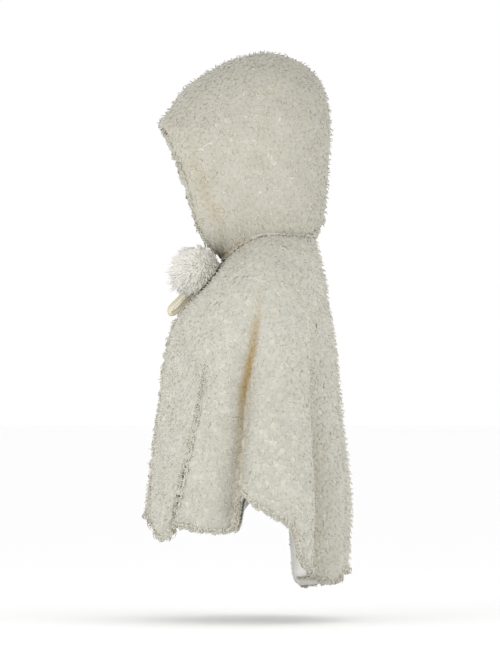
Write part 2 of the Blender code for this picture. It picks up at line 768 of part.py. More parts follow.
def main():
    for old in list(bpy.data.objects):
        bpy.data.objects.remove(old)
    panels = (
        ("front_left", FRONT_STEPS),
        ("side_left", SIDE_STEPS),
        ("back", BACK_STEPS),
        ("side_right", SIDE_STEPS),
        ("front_right", FRONT_STEPS),
    )
    for name, steps in panels:
        cape_panel(name, steps)
        lining_panel(name, steps)
    for row in POMPOMS:
        hood_half(row[0])
        pompom(*row)
    ribbon_bow()


main()
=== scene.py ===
"""Looks of the hooded cape: curly pile on its cloth, satin lining, ribbon bow and fur pompoms.

Metres, in the row frame: the wearer faces -Y and the wearer's left is +X. The shape tables are those
of the solids, so that every piece lies in the space that its solid holds.
"""

import math

import bpy
import numpy as np
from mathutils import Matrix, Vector, kdtree


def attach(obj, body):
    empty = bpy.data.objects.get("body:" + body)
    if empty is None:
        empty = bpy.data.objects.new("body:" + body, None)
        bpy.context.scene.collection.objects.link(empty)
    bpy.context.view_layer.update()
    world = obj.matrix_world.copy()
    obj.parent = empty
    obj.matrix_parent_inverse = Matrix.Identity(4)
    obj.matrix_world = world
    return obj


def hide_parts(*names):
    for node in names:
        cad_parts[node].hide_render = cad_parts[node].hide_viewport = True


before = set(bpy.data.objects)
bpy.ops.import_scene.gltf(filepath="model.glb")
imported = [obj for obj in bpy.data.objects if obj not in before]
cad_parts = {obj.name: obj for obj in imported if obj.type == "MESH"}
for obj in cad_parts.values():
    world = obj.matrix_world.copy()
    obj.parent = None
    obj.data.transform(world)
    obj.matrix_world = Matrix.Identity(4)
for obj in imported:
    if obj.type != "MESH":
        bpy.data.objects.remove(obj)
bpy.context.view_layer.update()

# Cloth thicknesses and gaps
PILE_WALL = 0.014
LINING_WALL = 0.0013
SEAM_GAP = 0.0003

# Neck seam: where the hood is sewn to the cape, and the slope of its seam allowance
NECK_SEAM_INWARD = 0.95
NECK_SEAM_DOWN = 0.30

# Yoke: rows from the neck seam over the shoulders to the chest, as a share of the way
YOKE_COLUMNS = ("share", "front_y", "front_z", "side_x", "side_z", "back_y", "back_z", "centre_y")
YOKE = (
    (0.00, -0.078, -0.021, 0.085, 0.031, 0.108, 0.028, 0.016),
    (0.25, -0.107, -0.058, 0.136, 0.001, 0.117, -0.014, 0.012),
    (0.50, -0.139, -0.098, 0.185, -0.032, 0.128, -0.062, 0.008),
    (0.75, -0.166, -0.130, 0.223, -0.085, 0.134, -0.112, 0.004),
    (1.00, -0.182, -0.160, 0.240, -0.160, 0.143, -0.160, 0.000),
)
YOKE_SHARE = 0.36

# Body: rows down from the chest, each a level section of the outer surface
BODY_COLUMNS = ("z", "front_y", "side_x", "back_y")
BODY = (
    (-0.16, -0.182, 0.240, 0.143),
    (-0.22, -0.196, 0.250, 0.151),
    (-0.30, -0.206, 0.257, 0.159),
    (-0.40, -0.220, 0.266, 0.170),
    (-0.50, -0.232, 0.276, 0.180),
    (-0.60, -0.241, 0.285, 0.176),
    (-0.70, -0.247, 0.292, 0.170),
)
CHEST_Z = BODY[0][0]
SECTION_POWER = 0.94
YOKE_DROP_POWER = 1.7
PAST_HEM = 1.2

# Hem: height of the lower edge at each angle round the body
HEM_COLUMNS = ("angle", "z")
HEM = (
    (0, -0.538),
    (14, -0.542),
    (22, -0.550),
    (31, -0.574),
    (38, -0.570),
    (43, -0.548),
    (60, -0.558),
    (69, -0.560),
    (74, -0.542),
    (78, -0.482),
    (84, -0.496),
    (92, -0.519),
    (106, -0.543),
    (110, -0.560),
    (114, -0.606),
    (123, -0.636),
    (139, -0.652),
    (152, -0.660),
    (162, -0.655),
    (170, -0.643),
    (190, -0.645),
    (200, -0.650),
    (209, -0.670),
    (222, -0.676),
    (244, -0.674),
    (248, -0.650),
    (251, -0.562),
    (262, -0.522),
    (270, -0.496),
    (278, -0.490),
    (284, -0.540),
    (292, -0.554),
    (318, -0.545),
    (346, -0.532),
    (360, -0.538),
)

# Folds: each a valley that runs from its start height down to the hem
FOLD_COLUMNS = ("top_angle", "hem_angle", "before", "after", "depth", "start_z", "full_z")
FOLDS = (
    (88, 71, 22, 14, 0.056, -0.050, -0.36),
    (61, 51, 9, 10, 0.009, -0.180, -0.40),
    (137, 135, 11, 27, 0.056, -0.080, -0.46),
    (171, 169, 11, 8, 0.024, -0.180, -0.52),
    (189, 193, 8, 12, 0.030, -0.150, -0.52),
    (215, 222, 25, 12, 0.052, -0.090, -0.46),
    (271, 283, 14, 21, 0.050, -0.050, -0.38),
    (299, 310, 10, 10, 0.011, -0.180, -0.42),
)
FOLD_SOFTNESS = 0.12
FOLD_LEAN_REACH = 0.4

# Front opening, arm slits and back seams
FRONT_EDGE_COLUMNS = ("share", "left_angle", "right_angle")
FRONT_EDGE = (
    (0.00, 3.2, 3.2),
    (0.36, 3.4, 3.0),
    (0.70, 8.0, 3.0),
    (1.00, 15.0, 4.0),
)
ARM_SEAM_COLUMNS = ("share", "angle")
ARM_SEAM = (
    (0.00, 64.0),
    (0.36, 58.5),
    (0.47, 56.5),
    (1.00, 41.5),
)
SLIT_TOP_SHARE = 0.47
SLIT_HALF_GAP = 0.0065
SLIT_POWER = 1.6
BACK_SEAM_ANGLE = 118.0

# Hood, in side view round its middle; the crown's rows are y and z, the opening's x, y and z
HOOD_MIDDLE_Y = -0.014
HOOD_MIDDLE_Z = 0.200
HOOD_HALF_WIDTH = 0.128
CROWN = (
    (-0.208, 0.254),
    (-0.190, 0.278),
    (-0.160, 0.321),
    (-0.110, 0.357),
    (-0.050, 0.386),
    (0.010, 0.397),
    (0.068, 0.382),
    (0.116, 0.342),
    (0.135, 0.288),
    (0.139, 0.235),
    (0.134, 0.160),
    (0.129, 0.090),
    (0.124, 0.050),
    (0.108, 0.028),
)
OPENING = (
    (0.006, -0.078, -0.021),
    (0.030, -0.098, -0.004),
    (0.058, -0.122, 0.025),
    (0.078, -0.138, 0.064),
    (0.091, -0.149, 0.112),
    (0.094, -0.162, 0.150),
    (0.085, -0.177, 0.188),
    (0.058, -0.193, 0.222),
    (0.000, -0.208, 0.254),
)
CROWN_STEPS = 22
OPENING_STEPS = 14
HOOD_RINGS = 9
HOOD_FINER = (4, 3)
HOOD_LIE = (0.0, 0.35, -0.94)
CROWN_FULLNESS = 2.1
DOME_POWER = 2.3
NECK_FULLNESS_COLUMNS = ("angle", "fullness")
NECK_FULLNESS = (
    (0, 1.02),
    (40, 1.05),
    (75, 1.50),
    (110, 2.20),
    (180, 2.20),
)
OPENING_FULLNESS = 1.30
EDGE_SHARPNESS = 7
EDGE_ROUNDING = 40
EDGE_ROLL_HEIGHT = 0.005
EDGE_ROLL_FROM = 0.80

# Ribbon bow and pompoms, placed over the chest: metres across from the middle, down the chest's
# slope from the knot, and off the surface of the pile; a ribbon's rows end with its width
CHEST_POINT = np.array((0.0, -0.104, -0.055))
CHEST_DOWN = np.array((0.0, -0.617, -0.787))
CHEST_OFF = np.array((0.0, -0.787, 0.617))
RIBBON_WALL = 0.0012
KNOT_PLACE = np.array((0.0, 0.0, 0.0135))
KNOT_SIZE = np.array((0.0160, 0.0110, 0.0100))
TIE_ROOT_ANGLE = 6.5
TIE_ROOT_SHARES = (0.045, 0.10)
TIE_ROOT_WIDTH = 0.010
TIE = (
    (0.0045, -0.0160, 0.0075, 0.007),
    (0.0028, -0.0060, 0.0125, 0.005),
)
BOW_LOOP = (
    (0.0028, 0.0059, 0.0112, 0.005),
    (0.0032, 0.0165, 0.0090, 0.006),
    (0.0120, 0.0400, 0.0080, 0.013),
    (0.0200, 0.0720, 0.0095, 0.013),
    (0.0250, 0.0980, 0.0130, 0.013),
    (0.0262, 0.1050, 0.0170, 0.013),
    (0.0255, 0.1010, 0.0215, 0.013),
    (0.0210, 0.0760, 0.0215, 0.013),
    (0.0130, 0.0440, 0.0180, 0.013),
    (0.0034, 0.0180, 0.0155, 0.006),
    (0.0028, 0.0059, 0.0155, 0.005),
)
BOW_TAIL_WIDTH = 0.006
BOW_TAIL_BEND = (0.0150, 0.0002, 0.0150)
BOW_TAIL_END = 0.008
POMPOMS = (
    ("left", 0.052, 0.019, 0.030),
    ("right", 0.050, 0.026, 0.031),
)
POMPOM_CORE = 0.016

# Steps of the solids' own grids, which the finer ones here follow
FRONT_STEPS, SIDE_STEPS, BACK_STEPS = 6, 18, 28
CAPE_ROWS = 64
CAPE_STEP = 0.010

# Cloth under the pile: depth below the tips, wall, lap of its neck edge over the seam, and tone
BASE_DEPTH = 0.0046
BASE_WALL = 0.0044
NECK_LAP = 0.0016
# The cloth's own tone, raised as painted light against the shadow between the curls
CLOTH_TONE = 0.95

# Curls: pitch and size on hood and cape, then the form and the colour of each
CURL_PITCH = {"hood": 0.0084, "cape": 0.0080}
CURL_SIZE = {"hood": 1.05, "cape": 1.0}
CURL_UNLIKE = (0.80, 1.18)
CURL_LENGTH = (0.0062, 0.0082)
CURL_WIDTH = (0.0056, 0.0072)
CURL_HEIGHT = (0.0022, 0.0030)
CURL_LEAN = (0.0006, 0.0030)
CURL_SINK = 0.0014
CURL_DEEPER, CURL_DEEPEST = 0.0006, 0.002
CURL_UNEVEN = 0.16
CURL_SIDES = 6
CURL_RINGS = (42, 90)
CURL_SCATTER = 0.8
CURL_TONE = 0.72
# A negative foot shade paints light, not shade, on the lower sides of each curl, against the shadow
# between curls
CURL_FOOT_SHADE = -0.12
NORMAL_BLEND = 0.75
TONE_SCATTER = 0.04
ROOT_SPACING = 0.80
SWIRL_LENGTH = 0.085
SWIRL_TURN = 0.5

# Curls round the edges, closed underneath; depths are shares of the pile, a hood edge has its inset
# and pitch before them, and a turn or blend is its value at the tips and its loss with depth
EDGE_CURL_RINGS = (42, 88, 135)
EDGE_PITCH = 0.0050
EDGE_SIZE = 0.72
EDGE_LIFT = 0.0060
EDGE_INSET = 0.0065
# A negative foot shade paints light on the lower sides of the edge curls, against the shadow between
# them
EDGE_FOOT_SHADE = -0.15
EDGE_BLEND = 0.25
EDGE_DEPTHS, HIDDEN_EDGE_DEPTHS = (0.08, 0.95), (0.08, 0.55)
EDGE_TURN = (0.9, 1.9)
NECK_EDGE_DEPTHS, NECK_EDGE_INSET = (-0.05, 0.10), -0.001
NECK_EDGE_BLEND = (0.7, 1.4)
HOOD_EDGES = (
    ("opening", 0.0060, EDGE_PITCH / 2.4, (0.05, 1.0)),
    ("neck", 0.0030, EDGE_PITCH, (0.1, 0.35)),
)

# Wisps over the curls, and the fringe at the edges; a profile is places along a wisp and widths,
# and softness is the share of the cloth's normal in their shading
TUFT_PITCH = {"hood": 0.0115, "cape": 0.0098}
TUFT_LENGTH = (0.0040, 0.0085)
TUFT_TIP = (-0.0010, 0.0036)
TUFT_RISE = (0.0060, 0.0090)
TUFT_SWAY = 0.0016
TUFT_BEND = 1.9
TUFT_START = 0.35
TUFT_WAVE = 3.5
TUFT_SPIN = 0.4
TUFT_SOFTNESS = 0.7
TUFT_SCATTER = 0.9
# The wisps' tone is set light: painted light for the light that their thin sides lose
TUFT_TONE = 0.96
TUFT_THICKNESS = 0.0011
TUFT_PROFILE = ((0.0, 1.1), (0.4, 1.0), (0.75, 0.62), (1.0, 0.0))
FRINGE_LENGTH = (0.0080, 0.0140)
FRINGE_TIP = (0.0000, 0.0060)

# Small roll of pile at the hood's front peak
PEAK = (0.0, -0.198, 0.246)
PEAK_SIZE = 0.012
PEAK_LIFT = 0.0070

# Ribbon: columns across it, its cup and half its thickness, the twist of the bow's loops, and each
# part's steps and tones, darker along one edge as painted shade; then the knot's grid, its squareness
# and its pleats
BAND_COLUMNS = 9
BAND_CUP = 0.0007
BAND_HALF = 0.00035
LOOP_TWIST = math.radians(55)
TIE_STEPS, TIE_TONES = 24, (0.45, 0.75)
LOOP_STEPS, LOOP_TONES = 70, (0.38, 0.95)
TAIL_STEPS, TAIL_TONES = 24, (0.4, 0.8)
KNOT_ROWS, KNOT_COLUMNS, KNOT_POLE = 24, 40, 0.03
KNOT_SQUARENESS, KNOT_PLEATS = 0.62, 0.035
# The knot's tone is a painted shadow, dark brown, lightest on its side away from the chest
KNOT_SHADOW_TONE = (0.22, 0.35)

# Long fur of the pompoms, in strands that end in a shared point, and the places on the cape that
# it is kept off: first, last and count of angles and of shares; a tone is its root and its growth
POMPOM_COMB = (0, -0.44, -0.30)
POMPOM_RISE = (0, 0.014, 0.013)
STRANDS = 520
STRAND_HAIRS = 6
STRAND_SCATTER = 0.16
HAIR_CORE = 0.035
HAIR_REACH = 0.0580
HAIR_RINGS = 3
HAIR_PROFILE = (1.0, 0.95, 0.7, 0.0)
HAIR_THICKNESS = 0.0010
HAIR_SPREAD = 0.0048
HAIR_JITTER = 0.10
HAIR_SHORTEST = 0.72
HAIR_START = 0.93
HAIR_GATHERED = 0.6
HAIR_CLEARANCE = 0.0015
HAIR_TONE = (0.35, 0.65)
HAIR_TONE_SCATTER = 0.06
HAIR_SOFTNESS = 0.55
CORE_DIVISIONS = 4
SAMPLE_ANGLES = (-6, 74, 81)
SAMPLE_SHARES = (0, 0.7, 91)

# Painted golden shade in the valley behind each arm: drop, place from front to back and strength;
# its soft and sharp side and how far out it starts
VALLEY_COLUMNS = ("drop", "y", "strength")
VALLEY = (
    (0.07, 0.000, 0.0),
    (0.12, -0.004, 0.25),
    (0.15, -0.010, 0.55),
    (0.20, -0.016, 0.8),
    (0.22, -0.022, 0.95),
    (0.24, -0.025, 1.0),
    (0.27, -0.032, 1.0),
    (0.30, -0.036, 0.7),
    (0.326, -0.039, 0.5),
    (0.38, -0.042, 0.3),
    (0.48, -0.046, 0.12),
)
VALLEY_SPREAD = (0.011, 0.0048)
VALLEY_FROM_X = 0.08
VALLEY_SHADE_GOLD, VALLEY_SHADE_TONE = 0.95, 0.10

# Colour by place, mostly painted shade: the two shaded folds, the neck seam, the hood's crease, top and
# back
SHADED_FOLDS = (2, 5)
FOLD_SHADE_GOLD, FOLD_SHADE_TONE = 0.05, 0.18
NECK_SHADE_GOLD, NECK_SHADE_SHARE, HOOD_SEAM_SHADE_REACH = 0.16, 0.025, 0.955
SEAM_SHADE_Y = (0.02, -0.06)
CAPE_TONE, CAPE_SHADE = 0.03, 0.05
CREASE_REACH, CREASE_WIDTH = 0.80, 0.055
CREASE_LOW_Z, CREASE_HIGH_SHARE = (0.22, 0.12), (0.35, 0.65)
CREASE_SHADE_GOLD, CREASE_SHADE_TONE = 0.16, 0.08
HOOD_GOLD, HOOD_SEAM_SHADE_GOLD, HOOD_TONE = 0.06, 0.50, -0.04
TOP_SHADE, BACK_SHADE = 0.20, 0.10

# Wrinkles of the lining: their depth, the drop over which it grows, and two waves round the body,
# each with its count, share and how it leans with the height
WRINKLE_DEPTH = 0.0009
WRINKLE_DROP = (0.10, 0.50)
WRINKLE_WIDE = (34, 0.6, 9)
WRINKLE_NARROW = (61, 0.4, 5)

# Studio: metres in each pixel of the photo, its height in pixels, the pixel of the row's origin,
# the camera's distance, the floor's height and the lights, each with place, size and power
PIXEL = 0.002
PHOTO_WIDTH, PHOTO_HEIGHT = 500, 672
ORIGIN_PIXEL = (262, 250)
CAMERA_DISTANCE = 14.0
FLOOR_Z = -0.74
LIGHTS = (
    ("key", (2.8, -2.2, 0.3), 1.6, 28),
    ("fill", (2.4, 2.4, -0.1), 2.0, 20),
)
LIGHT_TARGET = (0, 0, -0.15)

SPREAD = np.random.default_rng(11)


def table(rows, columns):
    """A table as one array for each named column."""
    return {name: np.array([row[i] for row in rows]) for i, name in enumerate(columns)}


def through(knots, values, at):
    """A smooth curve through the knots that never overshoots them."""
    at = np.clip(np.asarray(at, float), knots[0], knots[-1])
    step = np.diff(knots)
    rise = np.diff(values) / step
    slope = np.zeros(len(knots))
    turning = rise[:-1] * rise[1:] <= 0
    mean = 2 * rise[:-1] * rise[1:] / np.where(turning, 1.0, rise[:-1] + rise[1:])
    slope[1:-1] = np.where(turning, 0.0, mean)
    slope[0] = rise[0]
    slope[-1] = rise[-1]
    i = np.clip(np.searchsorted(knots, at, side="right") - 1, 0, len(step) - 1)
    t = (at - knots[i]) / step[i]
    start = values[i] * (1 + 2 * t) * (1 - t) ** 2 + slope[i] * step[i] * t * (1 - t) ** 2
    end = values[i + 1] * t**2 * (3 - 2 * t) - slope[i + 1] * step[i] * t**2 * (1 - t)
    return start + end


def unit(vectors):
    return vectors / np.maximum(np.linalg.norm(vectors, axis=-1, keepdims=True), 1e-12)


YOKE_AT = table(YOKE, YOKE_COLUMNS)
BODY_AT = table(BODY, BODY_COLUMNS)
HEM_AT = table(HEM, HEM_COLUMNS)
FOLDS_AT = table(FOLDS, FOLD_COLUMNS)
FRONT_EDGE_AT = table(FRONT_EDGE, FRONT_EDGE_COLUMNS)
ARM_SEAM_AT = table(ARM_SEAM, ARM_SEAM_COLUMNS)


def yoke(column, share):
    return through(YOKE_AT["share"], YOKE_AT[column], share)


def body(column, z):
    """A column of the body table at height z, where rows run downwards."""
    return through(-BODY_AT["z"], BODY_AT[column], -z)


def folds_at(angle, z):
    """For each fold: its depth, its growth at a height and how far off its middle an angle is."""
    for i in range(len(FOLDS)):
        fold = {name: FOLDS_AT[name][i] for name in FOLD_COLUMNS}
        run = np.clip((fold["start_z"] - z) / (fold["start_z"] - fold["full_z"]), 0, 1)
        lean = np.clip((fold["start_z"] - z) / (fold["start_z"] - CHEST_Z + FOLD_LEAN_REACH), 0, 1)
        middle = fold["top_angle"] + (fold["hem_angle"] - fold["top_angle"]) * lean
        away = angle - middle
        share = np.abs(away) / np.where(away < 0, fold["before"], fold["after"])
        yield fold["depth"], run * run * (3 - 2 * run), share


def fold_depth(angle, z):
    """How far the cloth is pulled in by the folds at an angle and height."""
    total = np.zeros(np.broadcast(angle, z).shape)
    for depth, grown, share in folds_at(angle, z):
        share = np.sqrt(share**2 + FOLD_SOFTNESS**2) - FOLD_SOFTNESS
        total += depth * grown * np.clip(1 - share, 0, 1) ** 2
    return total


def cape_point(angle, share):
    """The cape's outer surface, at an angle and a share of the way from neck seam to hem."""
    angle = np.asarray(angle, float) % 360
    share = np.asarray(share, float)
    angle, share = np.broadcast_arrays(angle, share)
    turn = np.radians(angle)
    cosine, sine = np.cos(turn), np.sin(turn)
    on_yoke = np.clip(share / YOKE_SHARE, 0, 1)
    below = np.clip((share - YOKE_SHARE) / (1 - YOKE_SHARE), 0, PAST_HEM)
    hem_z = through(HEM_AT["angle"], HEM_AT["z"], angle)
    end_z = np.where(cosine > 0, yoke("front_z", on_yoke), yoke("back_z", on_yoke))
    side_z = yoke("side_z", on_yoke)
    yoke_z = side_z + (end_z - side_z) * np.abs(cosine) ** YOKE_DROP_POWER
    z = np.where(share < YOKE_SHARE, yoke_z, CHEST_Z + (hem_z - CHEST_Z) * below)
    low = share >= YOKE_SHARE
    front_y = np.where(low, body("front_y", z), yoke("front_y", on_yoke))
    back_y = np.where(low, body("back_y", z), yoke("back_y", on_yoke))
    side_x = np.where(low, body("side_x", z), yoke("side_x", on_yoke))
    centre_y = yoke("centre_y", on_yoke)
    reach = np.where(cosine > 0, centre_y - front_y, back_y - centre_y)
    across = np.sign(sine) * np.abs(sine) ** SECTION_POWER
    along = np.sign(cosine) * np.abs(cosine) ** SECTION_POWER
    x = side_x * across
    y = centre_y - reach * along
    normal_x = across / side_x
    normal_y = -along / reach
    size = np.hypot(normal_x, normal_y)
    pulled = fold_depth(angle, z)
    return np.stack([x - pulled * normal_x / size, y - pulled * normal_y / size, z], axis=-1)


def cape_normal(angle, share):
    """Outward unit normal of the cape's outer surface."""
    turn, slide = 0.5, 0.004
    above = np.clip(np.asarray(share, float) - slide, 0, None)
    across = cape_point(angle + turn, share) - cape_point(angle - turn, share)
    down = cape_point(angle, share + slide) - cape_point(angle, above)
    return unit(np.cross(down, across))


def angle_step(angle, share, distance):
    """The angle that spans a distance along the cape at that place."""
    turn = 0.5
    arc = cape_point(angle + turn, share) - cape_point(angle - turn, share)
    return distance * 2 * turn / np.linalg.norm(arc, axis=-1)


def on_side(side, angle):
    return angle if side == "left" else 360 - angle


def front_edge(side, share):
    """Angle of a front panel's free edge."""
    return on_side(side, through(FRONT_EDGE_AT["share"], FRONT_EDGE_AT[side + "_angle"], share))


def arm_seam(side, share):
    """Angle of the seam between front and side panel, open as the arm slit below its top."""
    return on_side(side, through(ARM_SEAM_AT["share"], ARM_SEAM_AT["angle"], share))


def slit_half_gap(share):
    opened = np.clip((share - SLIT_TOP_SHARE) / (1 - SLIT_TOP_SHARE), 0, 1)
    return SEAM_GAP / 2 + SLIT_HALF_GAP * opened**SLIT_POWER


def seam_angles_of(name, share):
    """Angles of the two seams of a panel, or None where its edge is free."""
    if name == "back":
        return np.full_like(share, BACK_SEAM_ANGLE), np.full_like(share, 360 - BACK_SEAM_ANGLE)
    kind, side = name.split("_")
    slit = arm_seam(side, share)
    if kind == "front":
        seams = (None, slit)
    else:
        seams = (slit, np.full_like(share, on_side(side, BACK_SEAM_ANGLE)))
    return seams if side == "left" else seams[::-1]


def panel_edges(name, share):
    """The two edge angles of a cape panel at each share, with half of each seam's gap taken off."""
    kind, _, side = name.partition("_")
    edges = []
    for inward, seam in zip((1, -1), seam_angles_of(name, share)):
        if seam is None:
            edges.append(front_edge(side, share))
            continue
        at_slit = kind == "front" or (kind == "side" and (inward == 1) == (side == "left"))
        gap = slit_half_gap(share) if at_slit else SEAM_GAP / 2
        edges.append(seam + inward * angle_step(seam, share, gap))
    return edges


def neck_seam_direction(angle):
    """Direction of the neck seam's face, from the outer surface to the inner one."""
    turn = np.radians(angle)
    flat = np.stack([np.sin(turn), -np.cos(turn), np.zeros_like(turn)], axis=-1)
    return unit(-NECK_SEAM_INWARD * flat - NECK_SEAM_DOWN * np.array([0.0, 0.0, 1.0]))


def spaced_through(rows, steps):
    """Points evenly spaced along a smooth curve through the rows of a table."""
    rows = np.array(rows, float)
    lengths = np.linalg.norm(np.diff(rows, axis=0), axis=1)
    along = np.concatenate([[0.0], np.cumsum(lengths)])
    at = np.linspace(0, along[-1], steps + 1)
    return np.stack([through(along, rows[:, i], at) for i in range(rows.shape[1])], axis=-1)


def neck_angles():
    """Angles along half of the neck seam from the back to the front, on columns of the panels."""
    arm = float(ARM_SEAM_AT["angle"][0])
    front = float(FRONT_EDGE_AT["left_angle"][0])
    back_part = np.linspace(180, BACK_SEAM_ANGLE, BACK_STEPS // 4 + 1)
    side_part = np.linspace(BACK_SEAM_ANGLE, arm, SIDE_STEPS // 2 + 1)
    front_part = np.linspace(arm, front, FRONT_STEPS + 1)
    return np.concatenate([back_part, side_part[1:], front_part[1:]])


def hood_outline():
    """The edge loop of the left half of the hood, with the fullness of the dome at each point.

    It runs from the peak over the crown to the back neck, along the neck seam to the front, and
    up the face opening to the peak again.
    """
    crown = spaced_through(CROWN, CROWN_STEPS)
    crown = np.column_stack([np.zeros(len(crown)), crown])
    angles = neck_angles()
    neck = cape_point(angles, np.zeros_like(angles))
    opening_rows = np.array(OPENING)
    opening_rows[0] = neck[-1]
    opening = spaced_through(opening_rows, OPENING_STEPS)
    loop = np.concatenate([crown[:-1], neck, opening[1:-1]])
    counts = (CROWN_STEPS, len(angles), OPENING_STEPS - 1)
    kinds = np.repeat(("crown", "neck", "opening"), counts)
    neck_full = table(NECK_FULLNESS, NECK_FULLNESS_COLUMNS)
    neck_full = through(neck_full["angle"], neck_full["fullness"], angles)
    crown_full = np.full(CROWN_STEPS, CROWN_FULLNESS)
    full = np.concatenate([crown_full, neck_full, np.full(OPENING_STEPS - 1, OPENING_FULLNESS)])
    full = (np.roll(full, 1) + full + np.roll(full, -1)) / 3
    seam_angles = np.concatenate([np.full(CROWN_STEPS, 180.0), angles, np.zeros(OPENING_STEPS - 1)])
    return loop, kinds, full, seam_angles


def rounded(values, passes):
    """Values round a closed loop, evened out with their neighbours."""
    for _ in range(passes):
        values = (np.roll(values, 1, axis=0) + 2 * values + np.roll(values, -1, axis=0)) / 4
    return values


def hood_surface(loop, full, rings):
    """Points of the hood's outer dome, from its middle out to the edge loop.

    The loop's corners count only near the edge; further in the dome is round.
    """
    reach = np.sin(np.linspace(0, math.pi / 2, rings + 1))[:, None]
    near_edge = reach**EDGE_SHARPNESS
    soft = rounded(loop, EDGE_ROUNDING)
    shape = soft + (loop - soft) * near_edge[:, :, None]
    soft_full = rounded(full, EDGE_ROUNDING)
    fullness = soft_full + (full - soft_full) * near_edge
    middle = np.array([HOOD_MIDDLE_Y, HOOD_MIDDLE_Z])
    flat = middle + reach[:, :, None] * (shape[:, :, 1:] - middle)
    away = np.linalg.norm(flat - middle, axis=-1) / np.linalg.norm(loop[:, 1:] - middle, axis=-1)
    dome = (1 - np.clip(away, 0, 1) ** DOME_POWER) ** (1 / fullness)
    x = shape[:, :, 0] + (HOOD_HALF_WIDTH - shape[:, :, 0]) * dome
    return np.concatenate([x[:, :, None], flat], axis=-1), reach[:, 0]


def loop_normals(points):
    """Outward unit normals of a polar grid whose columns close on themselves."""
    around = np.roll(points, -1, axis=1) - np.roll(points, 1, axis=1)
    outward = np.gradient(points, axis=0)
    normal = np.cross(outward, around)
    normal[0] = (1.0, 0.0, 0.0)
    normal = unit(normal)
    flip = np.sign((normal * (points - (0.0, HOOD_MIDDLE_Y, HOOD_MIDDLE_Z))).sum(-1))
    return normal * np.where(flip == 0, 1, flip)[..., None]


def over_chest(places, sign=1):
    """Points given across, down and off the chest, mirrored to the right side by a sign of -1."""
    across, down, off = np.moveaxis(np.asarray(places, float)[..., None], -2, 0)
    return CHEST_POINT + down * CHEST_DOWN + off * CHEST_OFF + sign * across * (1, 0, 0)


def chest_coordinates(point):
    """A point of the left half as across, down and off the chest."""
    away = point - CHEST_POINT
    return away[0], away @ CHEST_DOWN, away @ CHEST_OFF


# Materials

def node(tree, kind, inputs=(), **settings):
    """A shader node with its settings and the values of its inputs; a socket as a value is linked."""
    made = tree.nodes.new("ShaderNode" + kind)
    for name, value in settings.items():
        setattr(made, name, value)
    for name, value in dict(inputs).items():
        if isinstance(value, bpy.types.NodeSocket):
            tree.links.new(value, made.inputs[name])
        else:
            made.inputs[name].default_value = value
    return made


def principled(name, inputs):
    """A new material and its tree, with values set on its Principled shader."""
    made = bpy.data.materials.new(name)
    made.use_nodes = True
    shader = made.node_tree.nodes["Principled BSDF"]
    for label, value in inputs.items():
        shader.inputs[label].default_value = value
    return made, made.node_tree, shader


def ramp(tree, factor, stops):
    """Colours at places from 0 to 1, picked by a factor."""
    made = node(tree, "ValToRGB", {"Fac": factor})
    elements = made.color_ramp.elements
    while len(elements) < len(stops):
        elements.new(0.5)
    for element, (place, colour) in zip(elements, stops):
        element.position = place
        element.color = (*colour, 1.0)
    return made.outputs["Color"]


def attribute(tree, name):
    return node(tree, "Attribute", attribute_name=name).outputs["Fac"]


def mixed(tree, factor, first, second, blend="MIX"):
    made = node(tree, "Mix", data_type="RGBA", blend_type=blend)
    colours = [socket for socket in made.inputs if socket.type == "RGBA"]
    for socket, value in zip([made.inputs[0], *colours], (factor, first, second)):
        if isinstance(value, bpy.types.NodeSocket):
            tree.links.new(value, socket)
        else:
            socket.default_value = value if isinstance(value, float) else (*value, 1.0)
    return next(socket for socket in made.outputs if socket.type == "RGBA")


def bump(tree, shader, height, distance, strength=1.0):
    made = node(tree, "Bump", {"Height": height, "Distance": distance, "Strength": strength})
    tree.links.new(made.outputs["Normal"], shader.inputs["Normal"])


def noise(tree, scale, detail=2.0, stretch=(1, 1, 1)):
    place = node(tree, "TexCoord").outputs["Object"]
    place = node(tree, "Mapping", {"Vector": place, "Scale": stretch}).outputs["Vector"]
    return node(tree, "TexNoise", {"Vector": place, "Scale": scale, "Detail": detail}).outputs["Fac"]


def pile_material():
    """Curly pile: warm beige at its roots, off-white at its tips, with painted golden shade deep in the
    folds and painted shade towards black.
    """
    made, tree, shader = principled(
        "pile",
        {
            "Roughness": 0.92,
            "Sheen Weight": 0.35,
            "Sheen Roughness": 0.55,
            "Sheen Tint": (1.0, 0.98, 0.93, 1.0),
            "Specular IOR Level": 0.10,
        },
    )
    stops = (
        (0.0, (0.506, 0.451, 0.335)),
        (0.35, (0.509, 0.478, 0.380)),
        (0.6, (0.512, 0.495, 0.416)),
        (0.76, (0.517, 0.513, 0.460)),
        (1.0, (0.718, 0.685, 0.584)),
    )
    colour = ramp(tree, attribute(tree, "tone"), stops)
    # The gold value: the hood's own warm tint, and painted golden shade in the folds, the valley, the
    # crease and at the neck seam
    gold = mixed(tree, attribute(tree, "gold"), colour, (0.42, 0.29, 0.105))
    cloudy = ramp(tree, noise(tree, 26.0), ((0.3, (0.93, 0.925, 0.91)), (0.7, (1.0, 1.0, 1.0))))
    patchy_and_shaded = mixed(tree, 1.0, gold, cloudy, "MULTIPLY")
    # Painted shade: the colour mixed towards black by the shade value
    patchy_and_shaded = mixed(tree, attribute(tree, "shade"), patchy_and_shaded, (0.0, 0.0, 0.0))
    tree.links.new(patchy_and_shaded, shader.inputs["Base Color"])
    bump(tree, shader, noise(tree, 1300.0, 2.0), 0.0002, 0.5)
    return made


